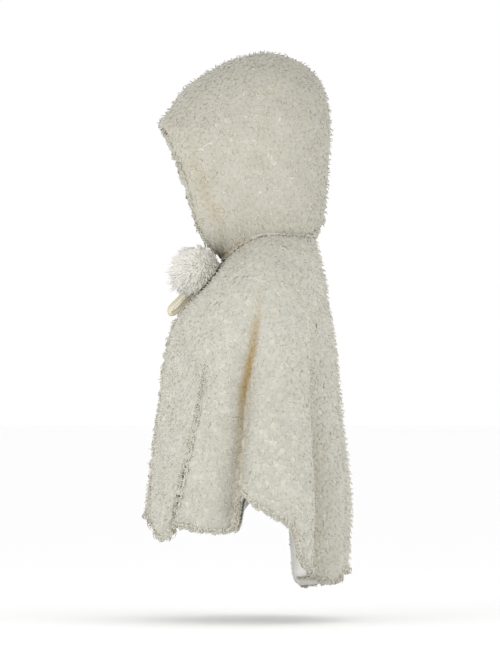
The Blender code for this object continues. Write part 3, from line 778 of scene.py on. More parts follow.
def satin_material():
    """Cream satin lining with a soft gloss and a fine weave."""
    made, tree, shader = principled(
        "satin",
        {
            "Roughness": 0.42,
            "Sheen Weight": 0.2,
            "Sheen Roughness": 0.4,
            "Specular IOR Level": 0.45,
            "Anisotropic": 0.35,
        },
    )
    cloudy = ramp(tree, noise(tree, 14.0), ((0.3, (0.66, 0.65, 0.605)), (0.7, (0.74, 0.73, 0.69))))
    tree.links.new(cloudy, shader.inputs["Base Color"])
    bump(tree, shader, noise(tree, 420.0, 2.0, (1.0, 1.0, 0.25)), 0.0003, 0.5)
    return made


def ribbon_material():
    """Satin ribbon, pale yellow cream, with painted shade towards one edge and a painted shadow over the
    knot.
    """
    made, tree, shader = principled(
        "ribbon",
        {"Roughness": 0.36, "Sheen Weight": 0.25, "Specular IOR Level": 0.5, "Anisotropic": 0.4},
    )
    stops = ((0.0, (0.36, 0.27, 0.14)), (0.35, (0.60, 0.53, 0.37)), (1.0, (0.80, 0.77, 0.62)))
    tree.links.new(ramp(tree, attribute(tree, "tone"), stops), shader.inputs["Base Color"])
    bump(tree, shader, noise(tree, 700.0, 2.0, (0.3, 1.0, 1.0)), 0.0002, 0.5)
    return made


def long_fur_material():
    """Long straight fur, white with a warm grey down at its roots."""
    made, tree, shader = principled(
        "long_fur",
        {
            "Roughness": 0.62,
            "Sheen Weight": 0.3,
            "Sheen Roughness": 0.5,
            "Specular IOR Level": 0.3,
        },
    )
    stops = ((0.0, (0.88, 0.83, 0.73)), (0.4, (0.93, 0.905, 0.83)), (1.0, (0.96, 0.945, 0.88)))
    tree.links.new(ramp(tree, attribute(tree, "tone"), stops), shader.inputs["Base Color"])
    return made


# Meshes

def make(name, points, faces, material, attributes):
    """A smooth object from arrays of points and faces, with a value for each point per attribute."""
    faces = np.asarray(faces, np.int32)
    mesh = bpy.data.meshes.new(name)
    mesh.vertices.add(len(points))
    mesh.vertices.foreach_set("co", np.asarray(points, np.float32).ravel())
    mesh.loops.add(faces.size)
    mesh.loops.foreach_set("vertex_index", faces.ravel())
    mesh.polygons.add(len(faces))
    mesh.polygons.foreach_set("loop_start", np.arange(0, faces.size, faces.shape[1], dtype=np.int32))
    mesh.update(calc_edges=True)
    mesh.validate()
    mesh.shade_smooth()
    for label, values in attributes.items():
        layer = mesh.attributes.new(label, "FLOAT", "POINT")
        layer.data.foreach_set("value", np.asarray(values, np.float32).ravel())
    mesh.materials.append(material)
    made = bpy.data.objects.new(name, mesh)
    bpy.context.scene.collection.objects.link(made)
    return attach(made, "root")


def grid_faces(rows, columns, wrap):
    row = np.arange(rows - 1)[:, None] * columns
    column = np.arange(columns if wrap else columns - 1)[None, :]
    beside = (column + 1) % columns
    corners = (row + column, row + beside, row + columns + beside, row + columns + column)
    return np.stack(np.broadcast_arrays(*corners), axis=-1).reshape(-1, 4)


def rim_faces(rows, columns, wrap):
    """Faces that join the edges of two layers of a grid."""
    layer = rows * columns
    if wrap:
        here, last = np.arange(columns), layer - columns
        beside = (here + 1) % columns
        rims = [(here, beside), (last + beside, last + here)]
    else:
        top = np.arange(columns)
        right = np.arange(columns - 1, layer, columns)
        bottom = layer - 1 - np.arange(columns)
        left = right[::-1] - columns + 1
        rims = [(edge[:-1], edge[1:]) for edge in (top, right, bottom, left)]
    return np.concatenate([np.stack([a, b, b + layer, a + layer], axis=-1) for a, b in rims])


def shell(name, outer, inner, material, wrap=False, **attributes):
    """A closed thin wall between two grids of points."""
    rows, columns = outer.shape[:2]
    grid = grid_faces(rows, columns, wrap)
    faces = np.concatenate([grid[:, ::-1], grid + rows * columns, rim_faces(rows, columns, wrap)])
    points = np.concatenate([outer.reshape(-1, 3), inner.reshape(-1, 3)])
    volume = points[faces]
    if np.einsum("ij,ij->", volume[:, 0], np.cross(volume[:, 1], volume[:, 2])) < 0:
        faces = faces[:, ::-1]
    doubled = {label: np.concatenate([v.ravel(), v.ravel()]) for label, v in attributes.items()}
    return make(name, points, faces, material, doubled)


def eased(values, start, end):
    share = np.clip((values - start) / (end - start), 0, 1)
    return share * share * (3 - 2 * share)


def between(values, times, wrap):
    """More rows between the rows of an array, on smooth curves through them."""
    if wrap:
        wide = np.concatenate([values[-1:], values, values[:2]])
    else:
        wide = np.concatenate([2 * values[:1] - values[1:2], values, 2 * values[-1:] - values[-2:-1]])
    before, here, there, after = wide[:-3, None], wide[1:-2, None], wide[2:-1, None], wide[3:, None]
    t = (np.arange(times) / times).reshape((1, times) + (1,) * (values.ndim - 1))
    curve = 2 * here + (there - before) * t
    curve = curve + (2 * before - 5 * here + 4 * there - after) * t**2
    curve = (curve + (3 * here - before - 3 * there + after) * t**3) / 2
    curve = curve.reshape((-1,) + values.shape[1:])
    return curve if wrap else np.concatenate([curve, values[-1:]])


def spaced_out(points, distance):
    """Numbers of the points that are kept so that no two of them stand nearer than a distance."""
    cells = np.floor(points / distance).astype(int).tolist()
    places = points.tolist()
    around = [(i, j, k) for i in (-1, 0, 1) for j in (-1, 0, 1) for k in (-1, 0, 1)]
    held, kept = {}, []
    for number, ((i, j, k), (x, y, z)) in enumerate(zip(cells, places)):
        free = True
        for di, dj, dk in around:
            for px, py, pz in held.get((i + di, j + dj, k + dk), ()):
                if (px - x) ** 2 + (py - y) ** 2 + (pz - z) ** 2 < distance**2:
                    free = False
                    break
            if not free:
                break
        if free:
            held.setdefault((i, j, k), []).append((x, y, z))
            kept.append(number)
    return np.array(kept)


def scattered(grid, pitch):
    """Roots spread evenly over a grid of points, with the grid's other values there."""
    found = sprinkled(grid, pitch / 2)
    order = SPREAD.permutation(len(found["point"]))
    kept = order[spaced_out(found["point"][order], pitch * ROOT_SPACING)]
    return {label: values[kept] for label, values in found.items()}


def sprinkled(grid, pitch):
    """Points strewn by chance over a grid, one for each square of that pitch."""
    points = grid["point"]
    across = points[:-1, 1:] - points[1:, :-1]
    down = points[1:, 1:] - points[:-1, :-1]
    area = np.linalg.norm(np.cross(across, down), axis=-1) / 2
    count = np.floor(area / pitch**2 + SPREAD.random(area.shape)).astype(int)
    row, column = np.nonzero(count)
    repeats = count[row, column]
    row, column = np.repeat(row, repeats), np.repeat(column, repeats)
    u, v = SPREAD.random((2, len(row)))
    found = {}
    for label, values in grid.items():
        a, b = (u[:, None], v[:, None]) if values.ndim == 3 else (u, v)
        upper = values[row, column] * (1 - a) + values[row, column + 1] * a
        lower = values[row + 1, column] * (1 - a) + values[row + 1, column + 1] * a
        found[label] = upper * (1 - b) + lower * b
    return found


def swirl(points):
    """A slowly turning angle over the cloth, which gathers neighbouring curls into groups."""
    x, y, z = (points * 2 * math.pi / SWIRL_LENGTH).T
    level = 1.3 * np.sin(x + 1.7 * np.sin(y)) + 1.1 * np.sin(1.3 * y + 1.9 * np.sin(z))
    return level + np.sin(1.1 * z + x)


def heading_of(roots, scatter):
    """Normal of each root and two directions along the cloth, turned by the swirl and by chance."""
    count = len(roots["point"])
    normal = unit(roots["normal"])
    flow = unit(roots["down"] - (roots["down"] * normal).sum(1, keepdims=True) * normal)
    aside = np.cross(normal, flow)
    heading = swirl(roots["point"]) * SWIRL_TURN + SPREAD.normal(0, scatter, count)
    ahead = np.cos(heading)[:, None] * flow + np.sin(heading)[:, None] * aside
    return normal, ahead, np.cross(normal, ahead)


def blended(geometry, normal, share):
    """Shading normals between those of a curl and of the cloth, as soft pile scatters light."""
    return unit(geometry * (1 - share) + normal * share)


def curls(name, roots, size, rings, foot_shade, material):
    """Small rounded curls of pile on their roots, joined in pieces; with three rings they are closed."""
    count = len(roots["point"])
    normal, ahead, aside = heading_of(roots, CURL_SCATTER)
    size = size * roots["size"] * SPREAD.uniform(*CURL_UNLIKE, count)
    length = SPREAD.uniform(*CURL_LENGTH, count) * size
    width = SPREAD.uniform(*CURL_WIDTH, count) * size
    height = SPREAD.uniform(*CURL_HEIGHT, count) * size
    lean = SPREAD.uniform(*CURL_LEAN, count)
    deeper = np.minimum(SPREAD.exponential(CURL_DEEPER, count), CURL_DEEPEST)
    lift = roots["lift"] - CURL_SINK - deeper
    middle = roots["point"] + normal * (lift - height)[:, None]
    uneven = SPREAD.uniform(-CURL_UNEVEN, CURL_UNEVEN, (count, 2))
    phase = SPREAD.uniform(0, 2 * math.pi, (count, 2))
    tone_of = SPREAD.normal(0, TONE_SCATTER, count) + roots["tone"]
    blend = roots["blend"][:, None] if len(rings) < 3 else EDGE_BLEND
    points = [middle + normal * height[:, None] + ahead * lean[:, None]]
    shading = [normal]
    tones = [CURL_TONE + tone_of]
    for ring in rings:
        fall, out = math.cos(math.radians(ring)), math.sin(math.radians(ring))
        for side in range(CURL_SIDES):
            turn = side * 2 * math.pi / CURL_SIDES
            waves = uneven * np.cos(turn * np.array([2, 3]) + phase)
            swell = 1 + waves[:, 0] + waves[:, 1]
            forward = (length * out * math.cos(turn) * swell + lean * fall)[:, None]
            sideways = (width * out * math.sin(turn) * swell)[:, None]
            upward = (height * fall)[:, None]
            points.append(middle + ahead * forward + aside * sideways + normal * upward)
            along = ahead * (out * math.cos(turn) / length)[:, None]
            across = aside * (out * math.sin(turn) / width)[:, None]
            own = unit(along + across + normal * (fall / height)[:, None])
            shading.append(blended(own, normal, blend) if ring <= 90 else own)
            # Painted light: a negative foot shade lightens the lower rings, against the shadow between
            # curls
            tones.append(CURL_TONE - foot_shade * (1 - fall) + tone_of)
    faces = [(0, 1 + side, 1 + (side + 1) % CURL_SIDES) for side in range(CURL_SIDES)]
    for ring in range(len(rings) - 1):
        for side in range(CURL_SIDES):
            here = 1 + ring * CURL_SIDES + side
            beside = 1 + ring * CURL_SIDES + (side + 1) % CURL_SIDES
            below = beside + CURL_SIDES
            faces += [(here, here + CURL_SIDES, below), (here, below, beside)]
    if len(rings) > 2:
        foot, last = len(points), 1 + (len(rings) - 1) * CURL_SIDES
        points.append(middle - normal * height[:, None])
        shading.append(-normal)
        # Painted light at the foot as well, with a negative foot shade
        tones.append(tone_of + CURL_TONE - foot_shade)
        faces += [(last + side, foot, last + (side + 1) % CURL_SIDES) for side in range(CURL_SIDES)]
    return pile_locks(name, points, shading, tones, faces, roots, material)


def tufts(name, roots, lengths, tips, material):
    """Thin curly wisps that lie over the curls and make the pile's outline soft."""
    count = len(roots["point"])
    normal, ahead, aside = heading_of(roots, TUFT_SCATTER)
    length = SPREAD.uniform(*lengths, count)
    rise = SPREAD.uniform(*TUFT_RISE, count)
    sideways = SPREAD.normal(0, TUFT_SWAY, count)
    tip = SPREAD.uniform(*tips, count) + roots["lift"]
    foot = roots["point"] + normal * (tip - rise)[:, None] - ahead * (length * 0.5)[:, None]
    # Painted light: the wisps get a light tone for the light their thin sides lose
    tone_of = TUFT_TONE + SPREAD.normal(0, TONE_SCATTER, count) + roots["tone"]
    points, shading = [], []
    for t, width in TUFT_PROFILE:
        bend = math.sin(TUFT_BEND * t) / math.sin(TUFT_BEND)
        forward = length * t * (TUFT_START + (1 - TUFT_START) * t)
        middle = foot + normal * (rise * bend)[:, None] + ahead * forward[:, None]
        middle = middle + aside * (sideways * np.sin(TUFT_WAVE * t))[:, None]
        climb = rise * TUFT_BEND * math.cos(TUFT_BEND * t) / math.sin(TUFT_BEND)
        along = length * (TUFT_START + 2 * (1 - TUFT_START) * t)
        above = unit(normal * along[:, None] - ahead * climb[:, None])
        for corner in range(3 if width else 1):
            angle = corner * 2 * math.pi / 3 + TUFT_SPIN
            out = math.cos(angle) * aside + math.sin(angle) * above
            points.append(middle + out * TUFT_THICKNESS * width)
            shading.append(unit(out + TUFT_SOFTNESS * normal))
    faces = lock_faces(len(TUFT_PROFILE) - 1, 3)
    return pile_locks(name, points, shading, [tone_of] * len(points), faces, roots, material)


def joined_locks(name, points, shading, faces, material, values):
    """Alike locks joined as one mesh, with their own shading normals."""
    count, corners = points.shape[:2]
    placed = np.array(faces)[None] + (np.arange(count) * corners)[:, None, None]
    made = make(name, points.reshape(-1, 3), placed.reshape(-1, 3), material, values)
    made.data.normals_split_custom_set_from_vertices(shading.reshape(-1, 3))
    return made


def pile_locks(name, points, shading, tones, faces, roots, material):
    """Curls or wisps joined as one piece, from a list by corner, coloured as their roots are."""
    points, shading, tones = (np.stack(values, axis=1) for values in (points, shading, tones))
    corners = points.shape[1]
    gold, shade = (np.repeat(roots[label], corners) for label in ("gold", "shade"))
    # Painted golden shade in the valley behind each arm
    gold = np.clip(gold + VALLEY_SHADE_GOLD * valley_shade_share(points.reshape(-1, 3)), 0, 1)
    values = {"tone": np.clip(tones, 0, 1), "gold": gold, "shade": shade}
    made = joined_locks(name, points, shading, faces, material, values)
    return [made]


def lock_faces(rings, sides):
    """Faces of one lock: rings of corners that end in a tip."""
    faces = []
    for ring in range(rings - 1):
        for side in range(sides):
            here, beside = ring * sides + side, ring * sides + (side + 1) % sides
            faces += [(here, beside, beside + sides), (here, beside + sides, here + sides)]
    last = (rings - 1) * sides
    faces += [(last + side, last + (side + 1) % sides, rings * sides) for side in range(sides)]
    return np.array(faces, np.int32)


# Cape panels

def fold_shade_share(angle, z):
    """How deep in the two folds with painted shade a place is, from 0 to 1."""
    shares = [grown * np.clip(1 - share, 0, 1) for _, grown, share in folds_at(angle, z)]
    return np.maximum(*(shares[i] for i in SHADED_FOLDS))


def valley_shade_share(point):
    """Painted golden shade in the valley behind each arm, from 0 to 1: sharp behind its line, soft
    before it.
    """
    valley = table(VALLEY, VALLEY_COLUMNS)
    line = through(valley["drop"], valley["y"], -point[..., 2])
    strength = through(valley["drop"], valley["strength"], -point[..., 2])
    away = point[..., 1] - line
    spread = np.where(away > 0, VALLEY_SPREAD[1], VALLEY_SPREAD[0])
    return strength * np.exp(-((away / spread) ** 2)) * (np.abs(point[..., 0]) > VALLEY_FROM_X)


def panel_grid(name):
    """A fine grid over one cape panel: points at the tips of the pile, normals and colour values."""
    share = np.linspace(0, 1, CAPE_ROWS)
    start, end = panel_edges(name, share)
    middle = cape_point(start + (end - start) * 0.5, share)
    width = np.linalg.norm(cape_point(start, share) - middle, axis=-1).max() * 2
    columns = max(8, int(width / CAPE_STEP))
    angle = start[:, None] + (end - start)[:, None] * np.linspace(0, 1, columns)
    share = np.broadcast_to(share[:, None], angle.shape)
    point = cape_point(angle, share)
    normal = cape_normal(angle, share)
    down = unit(np.gradient(point, axis=0))
    # Painted shade: golden and darker colour in the two shaded folds
    fold_shade = fold_shade_share(angle % 360, point[..., 2])
    # Painted golden shade in the valley behind each arm, and a darker tone there
    valley = valley_shade_share(point)
    # Painted golden shade along the front of the neck seam
    neck = eased(-share, -NECK_SHADE_SHARE, 0.0) * eased(point[..., 1], *SEAM_SHADE_Y)
    gold = FOLD_SHADE_GOLD * fold_shade**2 + NECK_SHADE_GOLD * neck
    tone = CAPE_TONE - FOLD_SHADE_TONE * fold_shade - VALLEY_SHADE_TONE * valley
    return {
        "point": point,
        "normal": normal,
        "down": down,
        "angle": angle,
        "gold": np.clip(gold, 0, 1),
        "tone": tone,
        # Painted shade on faces turned up
        "shade": CAPE_SHADE * np.clip(normal[..., 2], 0, 1),
        "size": np.ones_like(tone),
        "lift": np.zeros_like(tone),
        "blend": np.full_like(tone, NORMAL_BLEND),
    }


def edge_roots(grid, outward, pitch, depths):
    """Roots along an edge line of a cloth, over a part of the thickness of its pile."""
    point = grid["point"]
    steps = np.linalg.norm(np.diff(point, axis=0), axis=1)
    along = np.concatenate([[0.0], np.cumsum(steps)])
    count = int(along[-1] / pitch)
    at = (np.arange(count) + SPREAD.random(count)) * along[-1] / count
    found = {}
    for label, values in grid.items():
        flat = values.reshape(len(values), -1)
        taken = np.stack([np.interp(at, along, column) for column in flat.T], axis=-1)
        found[label] = taken.reshape((count,) + values.shape[1:])
    out = np.stack([np.interp(at, along, column) for column in outward.T], axis=-1)
    depth = SPREAD.uniform(*depths, count)
    normal = unit(found["normal"])
    found["point"] = found["point"] - normal * (PILE_WALL * depth)[:, None]
    found["normal"] = unit(out + normal * (EDGE_TURN[0] - EDGE_TURN[1] * depth)[:, None])
    found["lift"] = np.full(count, EDGE_LIFT)
    most, loss = NECK_EDGE_BLEND
    found["blend"] = np.clip(most - loss * depth, 0, most)
    found["size"] = found["size"] * EDGE_SIZE
    return found


def line_of(grid, place, inset, share):
    """One edge line of a grid, a little inside the edge, and the direction out of the cloth there.

    An edge that runs down starts at a share of the way.
    """
    rows, every = slice(int(share * (CAPE_ROWS - 1)), None), slice(None)
    picks = {
        "start": (rows, 0, rows, 1),
        "end": (rows, -1, rows, -2),
        "top": (0, every, 2, every),
        "bottom": (-1, every, -3, every),
    }
    here = picks[place][:2]
    inside = picks[place][2:]
    out = unit(grid["point"][here] - grid["point"][inside])
    line = {label: values[here].copy() for label, values in grid.items()}
    line["point"] = line["point"] - out * inset
    return line, out


def joined(*sets):
    return {label: np.concatenate([one[label] for one in sets]) for label in sets[0]}


def cape_panel(name, edges, material):
    """The cloth of a cape panel with its curls, as a sheet that stands for its solid."""
    grid = panel_grid(name)
    outer = grid["point"] - BASE_DEPTH * grid["normal"]
    inner = outer - BASE_WALL * grid["normal"]
    seam = neck_seam_direction(grid["angle"][0])
    outer[0] = grid["point"][0] + NECK_LAP * seam
    inner[0] = outer[0] + BASE_WALL * seam
    # The cloth's tone is raised as painted light between the curls; gold and shade carry painted shade
    tone = np.full(outer.shape[:2], CLOTH_TONE)
    gold = np.clip(grid["gold"] + VALLEY_SHADE_GOLD * valley_shade_share(outer), 0, 1)
    cloth = shell(name + "_cloth", outer, inner, material, tone=tone, gold=gold, shade=grid["shade"])
    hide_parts(name)
    line, out = line_of(grid, "top", NECK_EDGE_INSET, 0)
    neck = edge_roots(line, unit(-out * (1, 1, 0)), EDGE_PITCH, NECK_EDGE_DEPTHS)
    rims = []
    for place, share in edges:
        line, out = line_of(grid, place, EDGE_INSET, share)
        low = place == "bottom" and not name.startswith("front")
        depths = HIDDEN_EDGE_DEPTHS if low else EDGE_DEPTHS
        rims.append(edge_roots(line, out, EDGE_PITCH / 2, depths))
    rims = joined(*rims)
    made = pile_over(name, "cape", grid, (neck,), rims, material)
    made += tufts(name + "_fringe", rims, FRINGE_LENGTH, FRINGE_TIP, material)


def pile_over(name, kind, grid, more, rims, material):
    """Curls and wisps strewn over a cloth, on more roots where given, and curls round its edges."""
    surface = joined(scattered(grid, CURL_PITCH[kind]), *more)
    made = curls(name + "_pile", surface, CURL_SIZE[kind], CURL_RINGS, CURL_FOOT_SHADE, material)
    made += curls(name + "_rim", rims, CURL_SIZE[kind], EDGE_CURL_RINGS, EDGE_FOOT_SHADE, material)
    wisps = scattered(grid, TUFT_PITCH[kind])
    return made + tufts(name + "_wisps", wisps, TUFT_LENGTH, TUFT_TIP, material)


# Hood

def hood_grid(side):
    """A fine polar grid over one half of the hood, which follows the solid's own grid."""
    loop, kinds, full, seam_angles = hood_outline()
    outer, reach = hood_surface(loop, full, HOOD_RINGS)
    normal = loop_normals(outer)
    roll = np.clip((reach - EDGE_ROLL_FROM) / (1 - EDGE_ROLL_FROM), 0, 1)
    roll = (np.sin(roll * math.pi) ** 2)[:, None] * (kinds == "opening")[None, :]
    outer = outer + (EDGE_ROLL_HEIGHT * roll)[:, :, None] * normal
    opening = rounded((kinds == "opening").astype(float), 1)
    neck = rounded((kinds == "neck").astype(float), 1)
    shape = outer.shape[:2]
    values = {
        "point": outer,
        "reach": np.broadcast_to(reach[:, None], shape),
        "opening": np.broadcast_to(opening, shape),
        "neck": np.broadcast_to(neck, shape),
        "angle": np.broadcast_to(seam_angles, shape),
    }
    grid = {}
    for label, array in values.items():
        fine = between(array, HOOD_FINER[0], False)
        grid[label] = between(fine.swapaxes(0, 1), HOOD_FINER[1], True).swapaxes(0, 1)
    grid["point"][0] = grid["point"][0] * 0.98 + grid["point"][1] * 0.02
    grid["normal"] = loop_normals(grid["point"])
    grid["normal"][0] = grid["normal"][1]
    crown = (grid["opening"] < 0.5) & (grid["neck"] < 0.5)
    flat = grid["normal"][-1].copy()
    flat[crown[-1], 0] = 0.0
    grid["normal"][-1] = unit(flat)
    if side == "right":
        for label in ("point", "normal"):
            grid[label] = grid[label] * (-1, 1, 1)
    # Painted shade: gold and a darker tone in the crease behind the rolled edge of the opening
    low = eased(grid["point"][..., 2], *CREASE_LOW_Z)
    crease = np.exp(-(((grid["reach"] - CREASE_REACH) / CREASE_WIDTH) ** 2))
    crease = crease * grid["opening"] * (CREASE_HIGH_SHARE[0] + CREASE_HIGH_SHARE[1] * low)
    # Painted golden shade along the front of the neck seam, as on the cape
    forward = eased(grid["point"][..., 1], *SEAM_SHADE_Y)
    seam = eased(grid["reach"], HOOD_SEAM_SHADE_REACH, 1.0) * grid["neck"] * forward
    grid["gold"] = np.clip(HOOD_GOLD + CREASE_SHADE_GOLD * crease + HOOD_SEAM_SHADE_GOLD * seam, 0, 1)
    grid["tone"] = HOOD_TONE - CREASE_SHADE_TONE * crease
    # Painted shade on faces turned up and back
    up, back = (np.clip(grid["normal"][..., axis], 0, 1) for axis in (2, 1))
    grid["shade"] = TOP_SHADE * up + BACK_SHADE * back
    grid["size"] = np.ones_like(crease)
    from_peak = np.linalg.norm(grid["point"] - PEAK, axis=-1)
    grid["lift"] = PEAK_LIFT * np.exp(-((from_peak / PEAK_SIZE) ** 2))
    grid["blend"] = np.full_like(crease, NORMAL_BLEND)
    grid["down"] = np.broadcast_to(HOOD_LIE, grid["point"].shape)
    return grid


def hood_half(side, material):
    """One half of the hood: its cloth and curls, with the curls wrapped round the face opening."""
    grid = hood_grid(side)
    outer = grid["point"] - BASE_DEPTH * grid["normal"]
    inner = outer - BASE_WALL * grid["normal"]
    neck = np.flatnonzero(grid["neck"][-1] > 0.5)
    seam = neck_seam_direction(grid["angle"][-1, neck]) * (1 if side == "left" else -1, 1, 1)
    outer[-1, neck] = grid["point"][-1, neck] + NECK_LAP * seam
    inner[-1, neck] = outer[-1, neck] + BASE_WALL * seam
    # The cloth's tone is raised as painted light between the curls; gold is the hood's own tint with
    # painted golden shade, and shade is painted shade
    values = {"tone": np.full(outer.shape[:2], CLOTH_TONE), "gold": grid["gold"], "shade": grid["shade"]}
    cloth = shell(f"hood_{side}_cloth", outer, inner, material, True, **values)
    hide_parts("hood_" + side)
    closed = {label: np.concatenate([v, v[:, :1]], axis=1) for label, v in grid.items()}
    rims = []
    for kind, inset, pitch, depths in HOOD_EDGES:
        columns = np.flatnonzero(grid[kind][-1] > 0.5)
        line = {label: values[-1, columns] for label, values in grid.items()}
        out = unit(line["point"] - grid["point"][-3, columns])
        line["point"] = line["point"] - out * inset
        rims.append(edge_roots(line, out, pitch, depths))
    made = pile_over("hood_" + side, "hood", closed, (), joined(*rims), material)
    made += tufts(f"hood_{side}_fringe", rims[0], TUFT_LENGTH, TUFT_TIP, material)


# Lining

def lining_panel(name, material):
    """The satin lining of one cape panel, with soft upright wrinkles."""
    grid = panel_grid(name)
    rows = slice(1, -3 if name.startswith("front") else None)
    point, normal = grid["point"][rows], grid["normal"][rows]
    turn = np.arctan2(point[..., 0], -point[..., 1])
    height = point[..., 2]
    depth = eased(-height, *WRINKLE_DROP)
    count, share, lean = WRINKLE_WIDE
    wave = np.sin(count * turn + 3 * np.sin(lean * height)) * share
    count, share, lean = WRINKLE_NARROW
    wave = wave + np.sin(count * turn + lean * height) * share
    inward = PILE_WALL + SEAM_GAP + WRINKLE_DEPTH * depth * wave
    outer = point - normal * inward[..., None]
    made = shell("lining_" + name + "_satin", outer, outer - normal * LINING_WALL, material)
    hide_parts("lining_" + name)


# Ribbon bow

def band(name, rows, steps, sign, lie, material, tone, twist=0.0):
    """A satin band through ribbon rows; its width runs along the direction lie, then twists."""
    rows = np.array(rows)
    path = over_chest(rows[:, :3], sign)
    smooth = spaced_through(np.column_stack([path, rows[:, 3]]), steps)
    line, width = smooth[:, :3], smooth[:, 3]
    tangent = unit(np.gradient(line, axis=0))
    side = unit(np.array(lie) - (tangent @ np.array(lie))[:, None] * tangent)
    side = side * math.cos(twist) + np.cross(tangent, side) * math.sin(twist)
    lift = np.cross(tangent, side)
    across = np.linspace(-0.5, 0.5, BAND_COLUMNS)
    cup = BAND_CUP * np.cos(across * math.pi * 2)
    middle = line[:, None] + side[:, None] * (width[:, None] * across)[..., None]
    middle = middle + lift[:, None] * cup[None, :, None]
    half = lift[:, None] * BAND_HALF
    # Painted shade: the tone darkens towards one edge of the band
    tones = np.broadcast_to(tone[0] + (tone[1] - tone[0]) * (across + 0.5), middle.shape[:2])
    made = shell(name, middle + half, middle - half, material, tone=tones)
    return made


def ribbon_bow(material):
    """The knot, and on each side the tie, the loop and the tail that holds a pompom."""
    turns = np.linspace(0, 2 * math.pi, KNOT_COLUMNS, endpoint=False)
    turn, rise = np.meshgrid(turns, np.linspace(KNOT_POLE, math.pi - KNOT_POLE, KNOT_ROWS))
    ball = np.stack([np.sin(rise) * np.cos(turn), np.sin(rise) * np.sin(turn), np.cos(rise)], axis=-1)
    squared = np.sign(ball) * np.abs(ball) ** KNOT_SQUARENESS
    pleats = 1 + KNOT_PLEATS * np.sin(6 * turn + 2 * np.sin(rise * 3))[..., None]
    points = over_chest(KNOT_PLACE + squared * pleats * KNOT_SIZE / 2)
    # Painted shadow: the knot is dark brown, darkest on its side towards the chest
    tone = KNOT_SHADOW_TONE[0] + KNOT_SHADOW_TONE[1] * np.clip(ball[..., 2], 0, 1)
    faces = grid_faces(KNOT_ROWS, KNOT_COLUMNS, True)
    knot = make("bow_knot_satin", points.reshape(-1, 3), faces, material, {"tone": tone})
    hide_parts("bow_knot")
    roots = np.array(TIE_ROOT_SHARES)
    surface = cape_point(TIE_ROOT_ANGLE, roots)
    surface = surface + cape_normal(TIE_ROOT_ANGLE, roots) * (RIBBON_WALL / 2 + 1.5 * SEAM_GAP)
    tie = [(*chest_coordinates(point), TIE_ROOT_WIDTH) for point in surface] + list(TIE)
    for side, *place in POMPOMS:
        sign = 1 if side == "left" else -1
        made = band(f"tie_{side}_satin", tie, TIE_STEPS, sign, (1, 0, 0), material, TIE_TONES)
        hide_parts("tie_" + side)
        name, twist = f"bow_loop_{side}_satin", sign * LOOP_TWIST
        made = band(name, BOW_LOOP, LOOP_STEPS, sign, (1, 0, 0), material, LOOP_TONES, twist)
        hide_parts("bow_loop_" + side)
        back = unit(KNOT_PLACE - place)
        start = KNOT_PLACE + (KNOT_SIZE[0] / 2 + SEAM_GAP, 0.0, 0.0)
        ends = [np.array(place) + back * (POMPOM_CORE + length) for length in (BOW_TAIL_END, 0.0)]
        tail = [(*point, BOW_TAIL_WIDTH) for point in (start, BOW_TAIL_BEND, *ends)]
        name = f"bow_tail_{side}_satin"
        made = band(name, tail, TAIL_STEPS, sign, CHEST_DOWN, material, TAIL_TONES)
        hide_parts("bow_tail_" + side)


# Pompoms

def pompom(side, place, material):
    """A ball of long straight hairs that lies on the chest and never goes into the cape."""
    sign = 1 if side == "left" else -1
    centre = over_chest(place, sign) + POMPOM_RISE
    golden = math.pi * (3 - math.sqrt(5))
    number = np.arange(STRANDS) + 0.5
    height = 1 - 2 * number / STRANDS
    round_it = np.sqrt(1 - height**2)
    turn = golden * number
    strand = np.stack([round_it * np.cos(turn), round_it * np.sin(turn), height], axis=-1)
    strand = unit(strand + SPREAD.normal(0, HAIR_JITTER, strand.shape))
    comb = SPREAD.normal(0, STRAND_SCATTER, strand.shape) + POMPOM_COMB
    length = (HAIR_REACH - HAIR_CORE) * (1 - np.abs(SPREAD.normal(0, STRAND_SCATTER, STRANDS)))
    strand, comb, length = (np.repeat(values, STRAND_HAIRS, axis=0) for values in (strand, comb, length))
    out = unit(strand + SPREAD.normal(0, HAIR_SPREAD / HAIR_CORE, strand.shape))
    length = length * SPREAD.uniform(HAIR_SHORTEST, 1.0, len(length))
    spin = unit(np.cross(out, comb))
    surface, normal, tree = cape_samples(sign)
    points, shading, tones = [], [], []
    for ring in range(HAIR_RINGS + 1):
        t = ring / HAIR_RINGS
        gathered = out * (1 - HAIR_GATHERED * t) + strand * HAIR_GATHERED * t
        middle = centre + gathered * (HAIR_CORE * HAIR_START + length * t)[:, None]
        middle = middle + comb * (length * t * t)[:, None]
        clearance = HAIR_CLEARANCE + HAIR_CLEARANCE * t
        middle = off_the_cape(middle, surface, normal, tree, clearance)
        along = unit(gathered + comb * 2 * t)
        aside = unit(np.cross(along, spin))
        over = np.cross(along, aside)
        wide = HAIR_THICKNESS * HAIR_PROFILE[ring]
        tone = HAIR_TONE[0] + HAIR_TONE[1] * t + SPREAD.normal(0, HAIR_TONE_SCATTER, len(out))
        tone = np.clip(tone, 0, 1)
        for corner in range(1 if ring == HAIR_RINGS else 3):
            angle = corner * 2 * math.pi / 3
            round_hair = math.cos(angle) * aside + math.sin(angle) * over
            points.append(middle + wide * round_hair)
            shading.append(unit(HAIR_SOFTNESS * out + round_hair))
            tones.append(tone)
    points, shading, tones = (np.stack(values, axis=1) for values in (points, shading, tones))
    faces = lock_faces(HAIR_RINGS, 3)
    made = joined_locks(f"pompom_{side}_fur", points, shading, faces, material, {"tone": tones})
    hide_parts("pompom_" + side)
    bpy.ops.mesh.primitive_ico_sphere_add(subdivisions=CORE_DIVISIONS, radius=HAIR_CORE, location=centre)
    core = bpy.context.object
    core.name = f"pompom_{side}_core"
    core.data.materials.append(material)
    core.data.shade_smooth()
    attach(core, "root")


